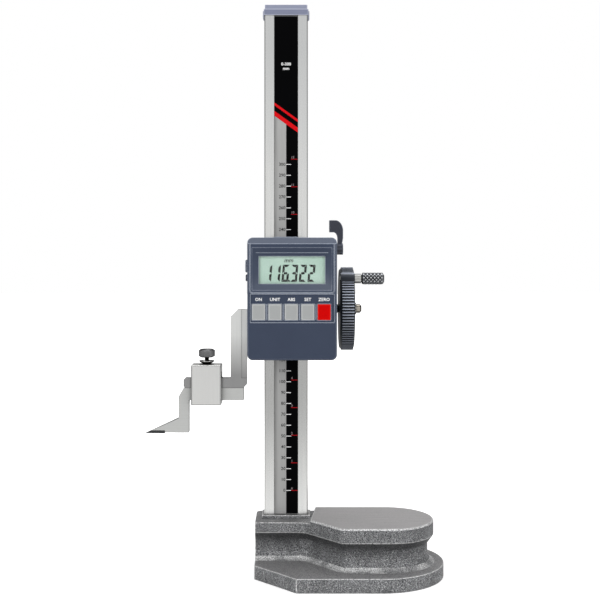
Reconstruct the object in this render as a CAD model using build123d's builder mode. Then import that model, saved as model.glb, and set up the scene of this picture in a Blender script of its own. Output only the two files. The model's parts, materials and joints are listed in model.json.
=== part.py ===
"""Digital height gauge: cast base, graduated column and a geared slider with a display."""
import os
from math import atan, cos, degrees, pi, radians, sin, sqrt, tan

from build123d import *

os.makedirs("parts", exist_ok=True)

# Column: a ground bar, front face towards -Y
column_width = 40.0
column_depth = 18.0
column_top = 509.6
column_edge = 0.8
column_front = -column_depth / 2
column_back = column_depth / 2

# Graduated strip set into the front of the column
strip_width = 21.6
strip_thickness = 0.8
strip_groove_depth = 1.2
strip_side_gap = 0.1
strip_end_gap = 1.0
film_thickness = 0.15
film_split_x = 0.1
film_slope_left_z = 417.0
film_slope_right_z = 401.5

# Base casting
base_axis_y = -22.0
lobe_radius = 41.5
lobe_reach = 133.6
lobe_top = 50.5
lobe_step_back_x = 27.0
lobe_step_front_x = 22.3
lobe_edge = 0.8
flange_side_ledge = 17.5
flange_end_ledge = 9.0
flange_radius = lobe_radius + flange_side_ledge
flange_reach = lobe_reach + flange_end_ledge
flange_left = -28.0
flange_thickness = 12.5
corner_cut_x = 37.5
corner_cut_y = 40.0
plate_underside = 37.7
platform_top = 47.0
platform_front = -26.0
slant_start_x = 17.0
slant_end_x = 49.3
slant_start_radius = 12.0
slant_end_radius = 8.0
waist_inset = 5.5
waist_foot_radius = 9.0
neck_height = 7.5
collar_height = 3.0
collar_rim = 2.5
collar_taper = 8.0
socket_floor = 20.0
socket_gap = 0.05
relief_depth = 1.5
relief_rim = 12.0
relief_left = 26.0

# Bolts that hold the column, from below
bolt_radius = 4.0
bolt_head_radius = 6.5
bolt_head_height = 8.0
bolt_head_recess = 1.0
bolt_spacing = 22.0
bolt_length = 26.0
bolt_key_radius = 3.4
bolt_key_depth = 4.0
bolt_gap = 0.2
thread_gap = 0.05
thread_run_out = 2.0

# Cap on top of the column
cap_overhang = 0.6
cap_wing_thickness = 1.5
cap_wing_drop = 2.5
cap_wing_depth = 12.0
cap_wing_bevel = 0.9
cap_band_height = 5.4
cap_tier_height = 4.6
cap_tier_inset = 1.0
cap_slope = 2.6
cap_edge = 0.6

# Rack and pinion, by module
gear_module = 1.25
pinion_teeth = 18
pressure_angle = radians(20)
root_depth = 1.25 * gear_module
tooth_backlash = 0.08
rack_width = 8.0
rack_pitch_y = 7.5
rack_floor_y = 3.0
rack_side_gap = 0.1
rack_back_gap = 0.02
rack_margin = 15.0
rack_screw_count = 4
rack_screw_radius = 1.5
rack_screw_head_radius = 2.8
rack_screw_end_margin = 20.0
rack_hole_wall = 0.4
rack_screw_clear = 0.6
pinion_width = 7.6
flank_steps = 5

# Travel of the slider from the modelled height
reading = 116.322
scale_range = 300.0

# Slider frame: a steel sleeve that runs on the column
frame_left = -30.0
frame_right = 32.0
frame_front = -14.0
frame_back = 15.0
frame_bottom = 198.5
frame_top = 301.5
frame_edge = 1.0
guide_gap = 0.05
sensor_window_width = 23.0
sensor_window_height = 70.0
rack_window_width = 12.0
rack_window_height = 32.0

# Arm and measuring bar, in one piece with the frame
arm_left = -51.3
arm_right = -36.2
arm_top = 238.6
arm_front = -5.0
arm_back = 4.0
arm_corner = 6.5
arm_step_x = -41.4
arm_step = 0.5
bar_left = -94.8
bar_bottom = 166.2
bar_height = 8.9
bar_end_chamfer = 1.5

# Gib and its set screws
gib_thickness = 1.6
gib_depth = 14.0
gib_bottom = 206.0
gib_top = 284.0
gib_gap = 0.05
gib_screw_radius = 2.0
gib_screw_margin = 9.0
gib_screw_slot = 0.6

# Clamp screw, shoe and lever
clamp_z = 294.3
clamp_screw_radius = 2.5
clamp_shoe_radius = 3.2
clamp_shoe_thickness = 1.5
clamp_shoe_gap = 0.15
clamp_boss_radius = 6.0
clamp_boss_reach = 43.5
lever_left = 46.7
lever_right = 52.7
lever_hub_radius = 5.35
lever_hub_sides = 8
lever_depth = 7.0
lever_top = 321.0
lever_neck_inset = 0.8
lever_neck_height = 5.0
hook_left = 39.9
hook_drop = 11.2
hook_outer_width = 7.2
hook_outer_height = 9.8
hook_inner_width = 3.6
hook_inner_height = 6.0

# Wheel shaft behind the column
wheel_z = 238.1
shaft_radius = 4.0
shaft_left = -15.0
shaft_end_radius = 3.0
bush_wall = 2.0
bush_gap = 0.03
bush_length = 8.0
gear_case_left = -17.0
gear_case_right = 23.0
gear_case_wall = 4.0
gear_cavity_gap = 1.2
gear_cavity_width = 10.0
gear_boss_radius = 9.0
gear_boss_reach = 44.0
gear_flange_thickness = 4.5
gear_flange_height = 58.0
gear_screw_radius = 2.0
gear_screw_head_radius = 3.5
gear_screw_head_height = 4.0
gear_screw_inset = 6.0
gear_screw_bite = 4.5

# Handwheel
wheel_left = 49.6
wheel_right = 63.2
wheel_radius = 39.0
wheel_edge = 1.5
wheel_rim_thickness = 8.0
wheel_web_thickness = 4.5
wheel_hub_radius = 10.0
wheel_hub_step_radius = 7.2
wheel_hub_rise = 1.4
wheel_flutes = 90
wheel_flute_width = 1.7
wheel_flute_floor = 0.8
wheel_flute_depth = 0.9
wheel_core_drop = 0.2
wheel_shoulder_left = 1.8
wheel_shoulder_right = 0.7
crank_radius = 38.0
crank_rise = 29.0
crank_boss_radius = 4.9
crank_boss_edge = 0.6
washer_radius = 5.5
washer_thickness = 1.2
nut_radius = 4.2
nut_length = 5.0
nut_edge = 1.6

# Crank handle
crank_pin_radius = 2.5
crank_collar_radius = 4.4
crank_collar_end = 69.0
crank_grip_radius = 5.4
crank_grip_end = 90.3
crank_grip_gap = 0.08
crank_grip_edge = 0.7
crank_grip_end_edge = 1.8
crank_head_radius = 3.0
crank_head_height = 2.4
crank_slot = 1.0

# Display housing, front face towards -Y
case_left = -34.4
case_right = 45.9
case_bottom = 194.9
case_top = 304.7
case_front = -39.0
case_split = -16.5
case_corner = 5.0
case_wall = 2.0
case_edge = 1.4
case_top_slope_height = 5.6
case_top_slope_depth = 3.6
outline_left = -32.3
outline_right = 43.8
outline_bottom = 255.0
outline_radius = 2.5
outline_width = 0.6
outline_depth = 0.4

# Window and liquid-crystal panel
view_left = -24.1
view_right = 35.3
view_bottom = 263.2
view_top = 287.8
bezel_side = 6.0
bezel_top = 7.8
bezel_bottom = 5.7
bezel_depth = 3.0
bezel_lip = 0.8
window_lap = 1.6
window_thickness = 1.2
panel_lap = 2.2
panel_thickness = 1.6
stack_gap = 0.1
fit_gap = 0.1

# Buttons
key_count = 5
key_width = 11.6
key_height = 14.1
key_pitch = 14.65
key_middle_x = 5.1
key_middle_z = 238.0
key_rise = 1.0
key_travel = 0.9
key_side_gap = 0.15
key_lip = 0.6
key_lip_thickness = 1.0
key_edge = 0.5
key_field_left = -31.5
key_field_right = 43.5
key_field_bottom = 228.7
key_field_top = 254.0
key_field_depth = 0.6
key_rib_width = 0.5
mat_margin = 1.0

# Circuit board, battery drawer and data port
board_thickness = 1.6
board_margin = 1.5
drawer_z = 278.9
drawer_y = -23.5
cell_radius = 5.8
cell_thickness = 5.4
drawer_wall = 0.8
drawer_floor = 1.0
drawer_lip_height = 11.3
drawer_lip_depth = 15.0
drawer_lip_thickness = 2.1
drawer_gap = 0.25
drawer_rail = 1.0
port_z = 268.3
port_width = 7.0
port_height = 4.6
port_depth = 6.0
port_cover_height = 6.1
port_cover_depth = 10.0
port_cover_thickness = 1.9
port_plug_length = 4.0
port_gap = 0.2
port_wall = 0.9

# Screws that hold the housing to the frame, and the sensor board
case_screw_radius = 1.5
case_screw_head_radius = 2.9
case_screw_x = 15.6
case_screw_margin = 6.5
case_screw_sink = 0.3
case_boss_radius = 3.2
case_screw_length = 15.0
sensor_board_thickness = 1.0
sensor_board_gap = 0.25
sensor_pad_gap = 0.5
sensor_board_margin = 1.0
guard_width = 21.0
guard_height = 0.9

# Scriber, its clamp and the thumb screw
scriber_shank_gap = 0.08
scriber_height = 11.5
scriber_right = -39.1
scriber_left = -99.3
scriber_leg_width = 9.6
scriber_tip_x = -130.6
scriber_tip_z = 123.8
scriber_slope_rise = 14.3
scriber_shoulder = 4.7
scriber_shoulder_drop = 8.0
scriber_relief = 0.9
carbide_length = 18.3
carbide_thickness = 2.6
scriber_nose = 3.0
nose_cut_run_out = 1.0
clamp_left = -87.5
clamp_right = -59.7
clamp_bottom = 150.4
clamp_top = 187.7
clamp_front_wall = 5.0
clamp_slide_gap = 0.08
clamp_edge = 0.8
clamp_headroom = 5.6
thumb_pad_height = 3.2
thumb_pad_width = 8.0
thumb_pad_gap = 0.1
thumb_stem_radius = 2.0
thumb_knob_radius = 7.5
thumb_knob_bottom = 194.1
thumb_knob_top = 201.6
thumb_knob_flutes = 36
thumb_flute_width = 0.9
thumb_flute_depth = 0.45
thumb_band_margin = 1.0
thumb_dish_depth = 0.8
thumb_knob_edge = 0.9
thumb_washer_radius = 7.1
thumb_washer_flat = 3.4
thumb_washer_rise = 2.6
thumb_washer_thickness = 0.7

# Places worked out from the sizes above
groove_floor_y = column_front + strip_groove_depth
strip_front_y = groove_floor_y - strip_thickness
collar_top = platform_top + collar_height
flange_front = base_axis_y - flange_radius
flange_back = base_axis_y + flange_radius
flange_end_x = flange_reach - flange_radius
lobe_front = base_axis_y - lobe_radius
lobe_back = base_axis_y + lobe_radius
lobe_end_x = lobe_reach - lobe_radius
casting_run_out = 4 * waist_inset
casting_left = flange_left - casting_run_out
step_slant = (lobe_step_back_x - lobe_step_front_x) / (lobe_back - platform_front)
step_front_end_x = lobe_step_front_x - step_slant * (platform_front - lobe_front)
neck_bottom = plate_underside - neck_height
neck_taper = degrees(atan(waist_inset / neck_height))
pitch_radius = gear_module * pinion_teeth / 2
tooth_pitch = pi * gear_module
wheel_y = rack_pitch_y + pitch_radius
wheel_hub_face = wheel_right + wheel_hub_rise
travel_down = reading
travel_up = scale_range - reading
bush_outer_radius = shaft_radius + bush_wall
bolt_places = (-bolt_spacing / 2, bolt_spacing / 2)


def span_box(low, high, mode=Mode.ADD):
    """Add a box between two corners to the part in hand."""
    centre = [(a + b) / 2 for a, b in zip(low, high)]
    with Locations(tuple(centre)):
        Box(*[b - a for a, b in zip(low, high)], mode=mode)


def facing(point, direction):
    """Give a plane at a point that looks along a direction."""
    return Plane(origin=point, z_dir=direction)


# Base casting: flange, waist with its finger groove, platform and machined lobe
with BuildSketch(Plane.XY) as plate_plan:
    with BuildLine():
        Polyline(
            (lobe_end_x, lobe_back),
            (casting_left, lobe_back),
            (casting_left, platform_front),
            (slant_start_x, platform_front),
            (slant_end_x, lobe_front),
            (lobe_end_x, lobe_front),
        )
        CenterArc((lobe_end_x, base_axis_y), lobe_radius, -90, 180)
    make_face()
    fillet(plate_plan.vertices().sort_by_distance((slant_start_x, platform_front))[0], slant_start_radius)
    fillet(plate_plan.vertices().sort_by_distance((slant_end_x, lobe_front))[0], slant_end_radius)

with BuildSketch(Plane.XY) as flange_plan:
    with BuildLine():
        Polyline(
            (flange_end_x, flange_back),
            (flange_left, flange_back),
            (flange_left, flange_front + corner_cut_y),
            (flange_left + corner_cut_x, flange_front),
            (flange_end_x, flange_front),
        )
        CenterArc((flange_end_x, base_axis_y), flange_radius, -90, 180)
    make_face()


def waist_line(height):
    """Find the waist's outline in the flat face at a height on the casting."""
    flats = base_casting.faces().filter_by(Axis.Z)
    face = [flat for flat in flats if abs(flat.center().Z - height) < 0.01 and flat.inner_wires()][0]
    return face.inner_wires()[0].edges()


with BuildPart() as base_casting:
    add(flange_plan.sketch)
    extrude(amount=flange_thickness)
    with BuildSketch(Plane.XY):
        with Locations((flange_end_x, base_axis_y)):
            Circle(flange_radius - relief_rim)
        with Locations(((relief_left + flange_end_x) / 2, base_axis_y)):
            Rectangle(flange_end_x - relief_left, 2 * (flange_radius - relief_rim))
    extrude(amount=relief_depth, mode=Mode.SUBTRACT)
    span_box(
        (casting_left - casting_run_out, flange_front + corner_cut_y, 0),
        (flange_left, flange_back, flange_thickness),
    )
    with BuildSketch(Plane.XY.offset(flange_thickness)):
        add(plate_plan.sketch)
        offset(amount=-waist_inset)
    extrude(amount=plate_underside - flange_thickness)
    fillet(waist_line(flange_thickness), waist_foot_radius)
    with BuildSketch(Plane.XY.offset(plate_underside)):
        add(plate_plan.sketch)
    extrude(amount=-neck_height, taper=neck_taper)
    with BuildSketch(Plane.XY.offset(plate_underside)):
        add(plate_plan.sketch)
    extrude(amount=platform_top - plate_underside)
    with BuildSketch(Plane.XY.offset(platform_top)):
        add(plate_plan.sketch)
        with BuildLine():
            Polyline(
                (lobe_step_back_x, lobe_back),
                (step_front_end_x, lobe_front),
                (casting_left, lobe_front),
                (casting_left, lobe_back),
                close=True,
            )
        make_face(mode=Mode.SUBTRACT)
    extrude(amount=lobe_top - platform_top)
    rim = base_casting.faces().filter_by(Axis.Z).sort_by(Axis.Z)[-1].edges()
    chamfer(rim, lobe_edge)
    span_box(
        (casting_left - casting_run_out, flange_front, 0),
        (flange_left, flange_back, lobe_top),
        mode=Mode.SUBTRACT,
    )
    with BuildSketch(Plane.XY.offset(neck_bottom)):
        with Locations((flange_left + waist_inset / 2, lobe_back - waist_inset / 2)):
            Rectangle(waist_inset, waist_inset)
        with Locations((flange_left + waist_inset, lobe_back - waist_inset)):
            Circle(waist_inset, mode=Mode.SUBTRACT)
    extrude(amount=lobe_top - neck_bottom, mode=Mode.SUBTRACT)
    with BuildSketch(Plane.XY.offset(platform_top)):
        Rectangle(column_width + 2 * collar_rim, column_depth + 2 * collar_rim)
    extrude(amount=collar_height, taper=collar_taper)
    span_box(
        (-column_width / 2 - socket_gap, column_front - socket_gap, socket_floor),
        (column_width / 2 + socket_gap, column_back + socket_gap, lobe_top),
        mode=Mode.SUBTRACT,
    )
    with Locations(*[facing((x, 0, 0), (0, 0, -1)) for x in bolt_places]):
        CounterBoreHole(
            radius=bolt_radius + bolt_gap,
            counter_bore_radius=bolt_head_radius + bolt_gap,
            counter_bore_depth=bolt_head_height + bolt_head_recess,
            depth=collar_top,
        )
base_casting.part.label = "base_casting"
export_step(base_casting.part, "parts/base_casting.step")

# Column bolts, heads down in the counterbores
with BuildPart() as column_bolts:
    for x in bolt_places:
        with BuildSketch(Plane.XY.offset(bolt_head_recess)):
            with Locations((x, 0)):
                Circle(bolt_head_radius)
        extrude(amount=bolt_head_height)
        with BuildSketch(Plane.XY.offset(bolt_head_recess + bolt_head_height)):
            with Locations((x, 0)):
                Circle(bolt_radius)
        extrude(amount=bolt_length)
        with BuildSketch(Plane.XY.offset(bolt_head_recess)):
            with Locations((x, 0)):
                RegularPolygon(bolt_key_radius, 6)
        extrude(amount=bolt_key_depth, mode=Mode.SUBTRACT)
column_bolts.part.label = "column_bolts"
export_step(column_bolts.part, "parts/column_bolts.step")

# Column with its front groove, rack channel and screw holes
rack_bottom = wheel_z - travel_down - rack_margin
rack_top = wheel_z + travel_up + rack_margin
rack_screw_span = rack_top - rack_bottom - 2 * rack_screw_end_margin
rack_screw_heights = [
    rack_bottom + rack_screw_end_margin + i * rack_screw_span / (rack_screw_count - 1)
    for i in range(rack_screw_count)
]
bolt_tip_z = bolt_head_recess + bolt_head_height + bolt_length
with BuildPart() as column:
    with BuildSketch(Plane.XY.offset(socket_floor)) as column_section:
        Rectangle(column_width, column_depth)
        chamfer(column_section.vertices(), column_edge)
        with Locations((0, column_front + strip_groove_depth / 2)):
            Rectangle(strip_width + 2 * strip_side_gap, strip_groove_depth, mode=Mode.SUBTRACT)
        with Locations((0, (column_back + rack_floor_y) / 2)):
            Rectangle(rack_width + 2 * rack_side_gap, column_back - rack_floor_y, mode=Mode.SUBTRACT)
    extrude(amount=column_top - socket_floor)
    with Locations(*[facing((x, 0, socket_floor), (0, 0, -1)) for x in bolt_places]):
        Hole(radius=bolt_radius + thread_gap, depth=bolt_tip_z - socket_floor + thread_run_out)
    with Locations(*[facing((0, groove_floor_y, z), (0, -1, 0)) for z in rack_screw_heights]):
        CounterSinkHole(
            radius=rack_screw_radius + thread_gap,
            counter_sink_radius=rack_screw_head_radius + thread_gap,
        )
column.part.label = "column"
export_step(column.part, "parts/column.step")

# Rack: straight teeth for the pinion, with a gap on the pinion's centre at rest
half_tooth = tooth_pitch / 4 - tooth_backlash / 2
tip_half = half_tooth - gear_module * tan(pressure_angle)
root_half = half_tooth + root_depth * tan(pressure_angle)
rack_tip_y = rack_pitch_y + gear_module
rack_root_y = rack_pitch_y - root_depth
first_tooth = round((rack_bottom - wheel_z) / tooth_pitch)
last_tooth = round((rack_top - wheel_z) / tooth_pitch)
rack_profile = [(rack_floor_y + rack_back_gap, wheel_z + first_tooth * tooth_pitch)]
for tooth in range(first_tooth, last_tooth):
    tooth_z = wheel_z + (tooth + 0.5) * tooth_pitch
    if tooth == first_tooth:
        rack_profile.append((rack_root_y, wheel_z + first_tooth * tooth_pitch))
    rack_profile += [
        (rack_root_y, tooth_z - root_half),
        (rack_tip_y, tooth_z - tip_half),
        (rack_tip_y, tooth_z + tip_half),
        (rack_root_y, tooth_z + root_half),
    ]
rack_profile.append((rack_root_y, wheel_z + last_tooth * tooth_pitch))
rack_profile.append((rack_floor_y + rack_back_gap, wheel_z + last_tooth * tooth_pitch))
with BuildPart() as rack:
    with BuildSketch(Plane.YZ.offset(-rack_width / 2)):
        with BuildLine():
            Polyline(*rack_profile, close=True)
        make_face()
    extrude(amount=rack_width)
    with Locations(*[facing((0, rack_floor_y, z), (0, -1, 0)) for z in rack_screw_heights]):
        Hole(radius=rack_screw_radius + thread_gap, depth=rack_root_y - rack_floor_y - rack_hole_wall)
rack.part.label = "rack"
export_step(rack.part, "parts/rack.step")

# Rack screws, countersunk under the graduated strip
with BuildPart() as rack_screws:
    for z in rack_screw_heights:
        with BuildSketch(facing((0, groove_floor_y, z), (0, 1, 0))):
            Circle(rack_screw_radius)
        extrude(amount=rack_root_y - groove_floor_y - rack_screw_clear)
        with BuildSketch(facing((0, groove_floor_y, z), (0, 1, 0))):
            Circle(rack_screw_head_radius)
        extrude(amount=rack_screw_head_radius - rack_screw_radius, taper=45)
rack_screws.part.label = "rack_screws"
export_step(rack_screws.part, "parts/rack_screws.step")

# Graduated strip and the black film on it
strip_bottom = collar_top + strip_end_gap
strip_top = column_top - strip_end_gap
with BuildPart() as scale_strip:
    span_box((-strip_width / 2, strip_front_y, strip_bottom), (strip_width / 2, groove_floor_y, strip_top))
scale_strip.part.label = "scale_strip"
export_step(scale_strip.part, "parts/scale_strip.step")

film_slope = (film_slope_right_z - film_slope_left_z) / strip_width
film_split_z = film_slope_left_z + film_slope * (film_split_x + strip_width / 2)
with BuildPart() as scale_film:
    with BuildSketch(Plane.XZ.offset(-strip_front_y)):
        with BuildLine():
            Polyline(
                (film_split_x, strip_bottom),
                (strip_width / 2, strip_bottom),
                (strip_width / 2, strip_top),
                (-strip_width / 2, strip_top),
                (-strip_width / 2, film_slope_left_z),
                (film_split_x, film_split_z),
                close=True,
            )
        make_face()
    extrude(amount=film_thickness)
scale_film.part.label = "scale_film"
export_step(scale_film.part, "parts/scale_film.step")

# Cap: a band, a sloped tier and two side wings that grip the column
cap_band_top = column_top + cap_band_height
cap_tier_top = cap_band_top + cap_tier_height
cap_half = column_width / 2 + cap_overhang
with BuildPart() as column_cap:
    with BuildSketch(Plane.XY.offset(column_top)):
        Rectangle(2 * cap_half, column_depth + 2 * cap_overhang)
    extrude(amount=cap_band_height)
    with BuildSketch(Plane.YZ.offset(-cap_half + cap_tier_inset)):
        with BuildLine():
            Polyline(
                (column_front - cap_overhang, cap_band_top),
                (column_back + cap_overhang, cap_band_top),
                (column_back + cap_overhang - cap_tier_inset, cap_tier_top),
                (column_front - cap_overhang + cap_slope, cap_tier_top),
                close=True,
            )
        make_face()
    extrude(amount=2 * (cap_half - cap_tier_inset))
    fillet(column_cap.faces().sort_by(Axis.Z)[-1].edges(), cap_edge)
    for side in (-1, 1):
        inner = side * (column_width / 2 + socket_gap)
        outer = side * (column_width / 2 + cap_wing_thickness)
        with BuildSketch(Plane.XZ.offset(-cap_wing_depth / 2)):
            with BuildLine():
                Polyline(
                    (inner, column_top - cap_wing_drop),
                    (outer - side * cap_wing_bevel, column_top - cap_wing_drop),
                    (outer, column_top - cap_wing_drop + cap_wing_bevel),
                    (outer, cap_band_top - cap_tier_inset),
                    (inner, cap_band_top - cap_tier_inset),
                    close=True,
                )
            make_face()
        extrude(amount=cap_wing_depth)
column_cap.part.label = "column_cap"
export_step(column_cap.part, "parts/column_cap.step")

# Slider frame: sleeve, arm and measuring bar in one piece of steel
guide_left = -column_width / 2 - guide_gap
gib_left = column_width / 2 + gib_gap
gib_right = gib_left + gib_thickness
gib_wall = gib_right + gib_gap
guide_front = column_front - guide_gap
guide_back = column_back + guide_gap
bar_top = bar_bottom + bar_height
sensor_window_bottom = (frame_bottom + frame_top - sensor_window_height) / 2
sensor_window_top = sensor_window_bottom + sensor_window_height
gib_screw_heights = [gib_bottom + gib_screw_margin, gib_top - gib_screw_margin]
case_screw_heights = [frame_bottom + case_screw_margin, frame_top - case_screw_margin]
case_screw_places = [(x, z) for x in (-case_screw_x, case_screw_x) for z in case_screw_heights]
gear_screw_places = [
    (x, wheel_z + side * (gear_flange_height / 2 - gear_screw_inset))
    for x in (gear_case_left + gear_screw_inset, gear_case_right - gear_screw_inset)
    for side in (-1, 1)
]
with BuildPart() as slider_frame:
    with BuildSketch(Plane.XY.offset(frame_bottom)) as sleeve_section:
        with Locations(((frame_left + frame_right) / 2, (frame_front + frame_back) / 2)):
            Rectangle(frame_right - frame_left, frame_back - frame_front)
        chamfer(sleeve_section.vertices(), frame_edge)
        with Locations(((guide_left + gib_left) / 2, 0)):
            Rectangle(gib_left - guide_left, guide_back - guide_front, mode=Mode.SUBTRACT)
    extrude(amount=frame_top - frame_bottom)
    with BuildSketch(Plane.XZ.offset(-arm_back)):
        with BuildLine():
            Polyline(
                (frame_left, arm_top),
                (arm_left + arm_corner, arm_top),
                (arm_left, arm_top - arm_corner),
                (arm_left, bar_top),
                (bar_left + bar_end_chamfer, bar_top),
                (bar_left, bar_top - bar_end_chamfer),
                (bar_left, bar_bottom + bar_end_chamfer),
                (bar_left + bar_end_chamfer, bar_bottom),
                (arm_right - arm_corner / 2, bar_bottom),
                (arm_right, bar_bottom + arm_corner / 2),
                (arm_right, frame_bottom),
                (frame_left, frame_bottom),
                close=True,
            )
        make_face()
    extrude(amount=arm_back - arm_front)
    span_box(
        (arm_step_x, arm_front, bar_top),
        (frame_left - arm_step, arm_front + arm_step, arm_top + arm_step),
        mode=Mode.SUBTRACT,
    )
    span_box(
        (-sensor_window_width / 2, frame_front, sensor_window_bottom),
        (sensor_window_width / 2, guide_front, sensor_window_top),
        mode=Mode.SUBTRACT,
    )
    span_box(
        (-rack_window_width / 2, guide_back, wheel_z - rack_window_height / 2),
        (rack_window_width / 2, frame_back, wheel_z + rack_window_height / 2),
        mode=Mode.SUBTRACT,
    )
    span_box(
        (gib_left, -gib_depth / 2 - gib_gap, gib_bottom - gib_gap),
        (gib_wall, gib_depth / 2 + gib_gap, gib_top + gib_gap),
        mode=Mode.SUBTRACT,
    )
    with BuildSketch(Plane.YZ.offset(frame_right)):
        with Locations((0, clamp_z)):
            Circle(clamp_boss_radius)
    extrude(amount=clamp_boss_reach - frame_right)
    with Locations(facing((clamp_boss_reach, 0, clamp_z), (1, 0, 0))):
        Hole(radius=clamp_screw_radius + thread_gap, depth=clamp_boss_reach - gib_left)
    with BuildSketch(Plane.YZ.offset(gib_left)):
        with Locations((0, clamp_z)):
            Circle(clamp_shoe_radius + clamp_shoe_gap)
    extrude(amount=clamp_shoe_thickness + 2 * clamp_shoe_gap, mode=Mode.SUBTRACT)
    with Locations(*[facing((frame_right, 0, z), (1, 0, 0)) for z in gib_screw_heights]):
        Hole(radius=gib_screw_radius + thread_gap, depth=frame_right - gib_left)
    with Locations(*[facing((x, guide_front, z), (0, 1, 0)) for x, z in case_screw_places]):
        CounterSinkHole(
            radius=case_screw_radius + bolt_gap,
            counter_sink_radius=case_screw_head_radius + bolt_gap,
            depth=guide_front - frame_front,
        )
    with Locations(*[facing((x, frame_back, z), (0, 1, 0)) for x, z in gear_screw_places]):
        Hole(radius=gear_screw_radius + thread_gap, depth=gear_screw_bite + bolt_gap)
    with BuildSketch(Plane.YZ.offset(shaft_left - bush_gap)):
        with Locations((wheel_y, wheel_z)):
            Circle(bush_outer_radius + bush_gap)
    extrude(amount=frame_right - shaft_left + bush_gap, mode=Mode.SUBTRACT)
slider_frame.part.label = "slider_frame"
export_step(slider_frame.part, "parts/slider_frame.step")

# Gib and its two set screws
with BuildPart() as gib_strip:
    span_box((gib_left, -gib_depth / 2, gib_bottom), (gib_right, gib_depth / 2, gib_top))
gib_strip.part.label = "gib_strip"
export_step(gib_strip.part, "parts/gib_strip.step")

with BuildPart() as gib_screws:
    for z in gib_screw_heights:
        with BuildSketch(Plane.YZ.offset(gib_right)):
            with Locations((0, z)):
                Circle(gib_screw_radius)
        extrude(amount=frame_right - gib_right)
        span_box(
            (frame_right - gib_screw_radius / 2, -gib_screw_slot / 2, z - gib_screw_radius),
            (frame_right, gib_screw_slot / 2, z + gib_screw_radius),
            mode=Mode.SUBTRACT,
        )
gib_screws.part.label = "gib_screws"
export_step(gib_screws.part, "parts/gib_screws.step")

# Clamp shoe, screw and lever
with BuildPart() as clamp_shoe:
    with BuildSketch(Plane.YZ.offset(gib_left)):
        with Locations((0, clamp_z)):
            Circle(clamp_shoe_radius)
    extrude(amount=clamp_shoe_thickness)
clamp_shoe.part.label = "clamp_shoe"
export_step(clamp_shoe.part, "parts/clamp_shoe.step")

clamp_screw_tip = gib_left + clamp_shoe_thickness + clamp_shoe_gap
with BuildPart() as clamp_screw:
    with BuildSketch(Plane.YZ.offset(clamp_screw_tip)):
        with Locations((0, clamp_z)):
            Circle(clamp_screw_radius)
    extrude(amount=lever_right - clamp_screw_tip)
clamp_screw.part.label = "clamp_screw"
export_step(clamp_screw.part, "parts/clamp_screw.step")

lever_neck_z = clamp_z + lever_hub_radius
lever_neck_left = lever_left + lever_neck_inset
lever_neck_right = lever_right - lever_neck_inset
hook_bottom = lever_top - hook_drop
with BuildPart() as clamp_lever:
    with BuildSketch(Plane.XZ.offset(-lever_depth / 2)):
        with BuildLine():
            Polyline(
                (lever_left, clamp_z),
                (lever_neck_left, lever_neck_z),
                (lever_neck_left, hook_bottom - hook_inner_height),
            )
            EllipticalCenterArc(
                (lever_neck_left - hook_inner_width, hook_bottom - hook_inner_height),
                hook_inner_width,
                hook_inner_height,
            )
            Polyline(
                (lever_neck_left - hook_inner_width, hook_bottom),
                (hook_left, hook_bottom),
                (hook_left, lever_top),
                (lever_right - hook_outer_width, lever_top),
            )
            EllipticalCenterArc(
                (lever_right - hook_outer_width, lever_top - hook_outer_height),
                hook_outer_width,
                hook_outer_height,
            )
            Polyline(
                (lever_right, lever_top - hook_outer_height),
                (lever_right, lever_neck_z + lever_neck_height),
                (lever_neck_right, lever_neck_z),
                (lever_neck_right, clamp_z),
                (lever_left, clamp_z),
            )
        make_face()
    extrude(amount=lever_depth)
    with BuildSketch(Plane.YZ.offset(lever_left)):
        with Locations((0, clamp_z)):
            RegularPolygon(lever_hub_radius, lever_hub_sides)
    extrude(amount=lever_right - lever_left)
    with Locations(facing((lever_right, 0, clamp_z), (1, 0, 0))):
        Hole(radius=clamp_screw_radius + socket_gap, depth=lever_right - lever_left)
clamp_lever.part.label = "clamp_lever"
export_step(clamp_lever.part, "parts/clamp_lever.step")

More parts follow.
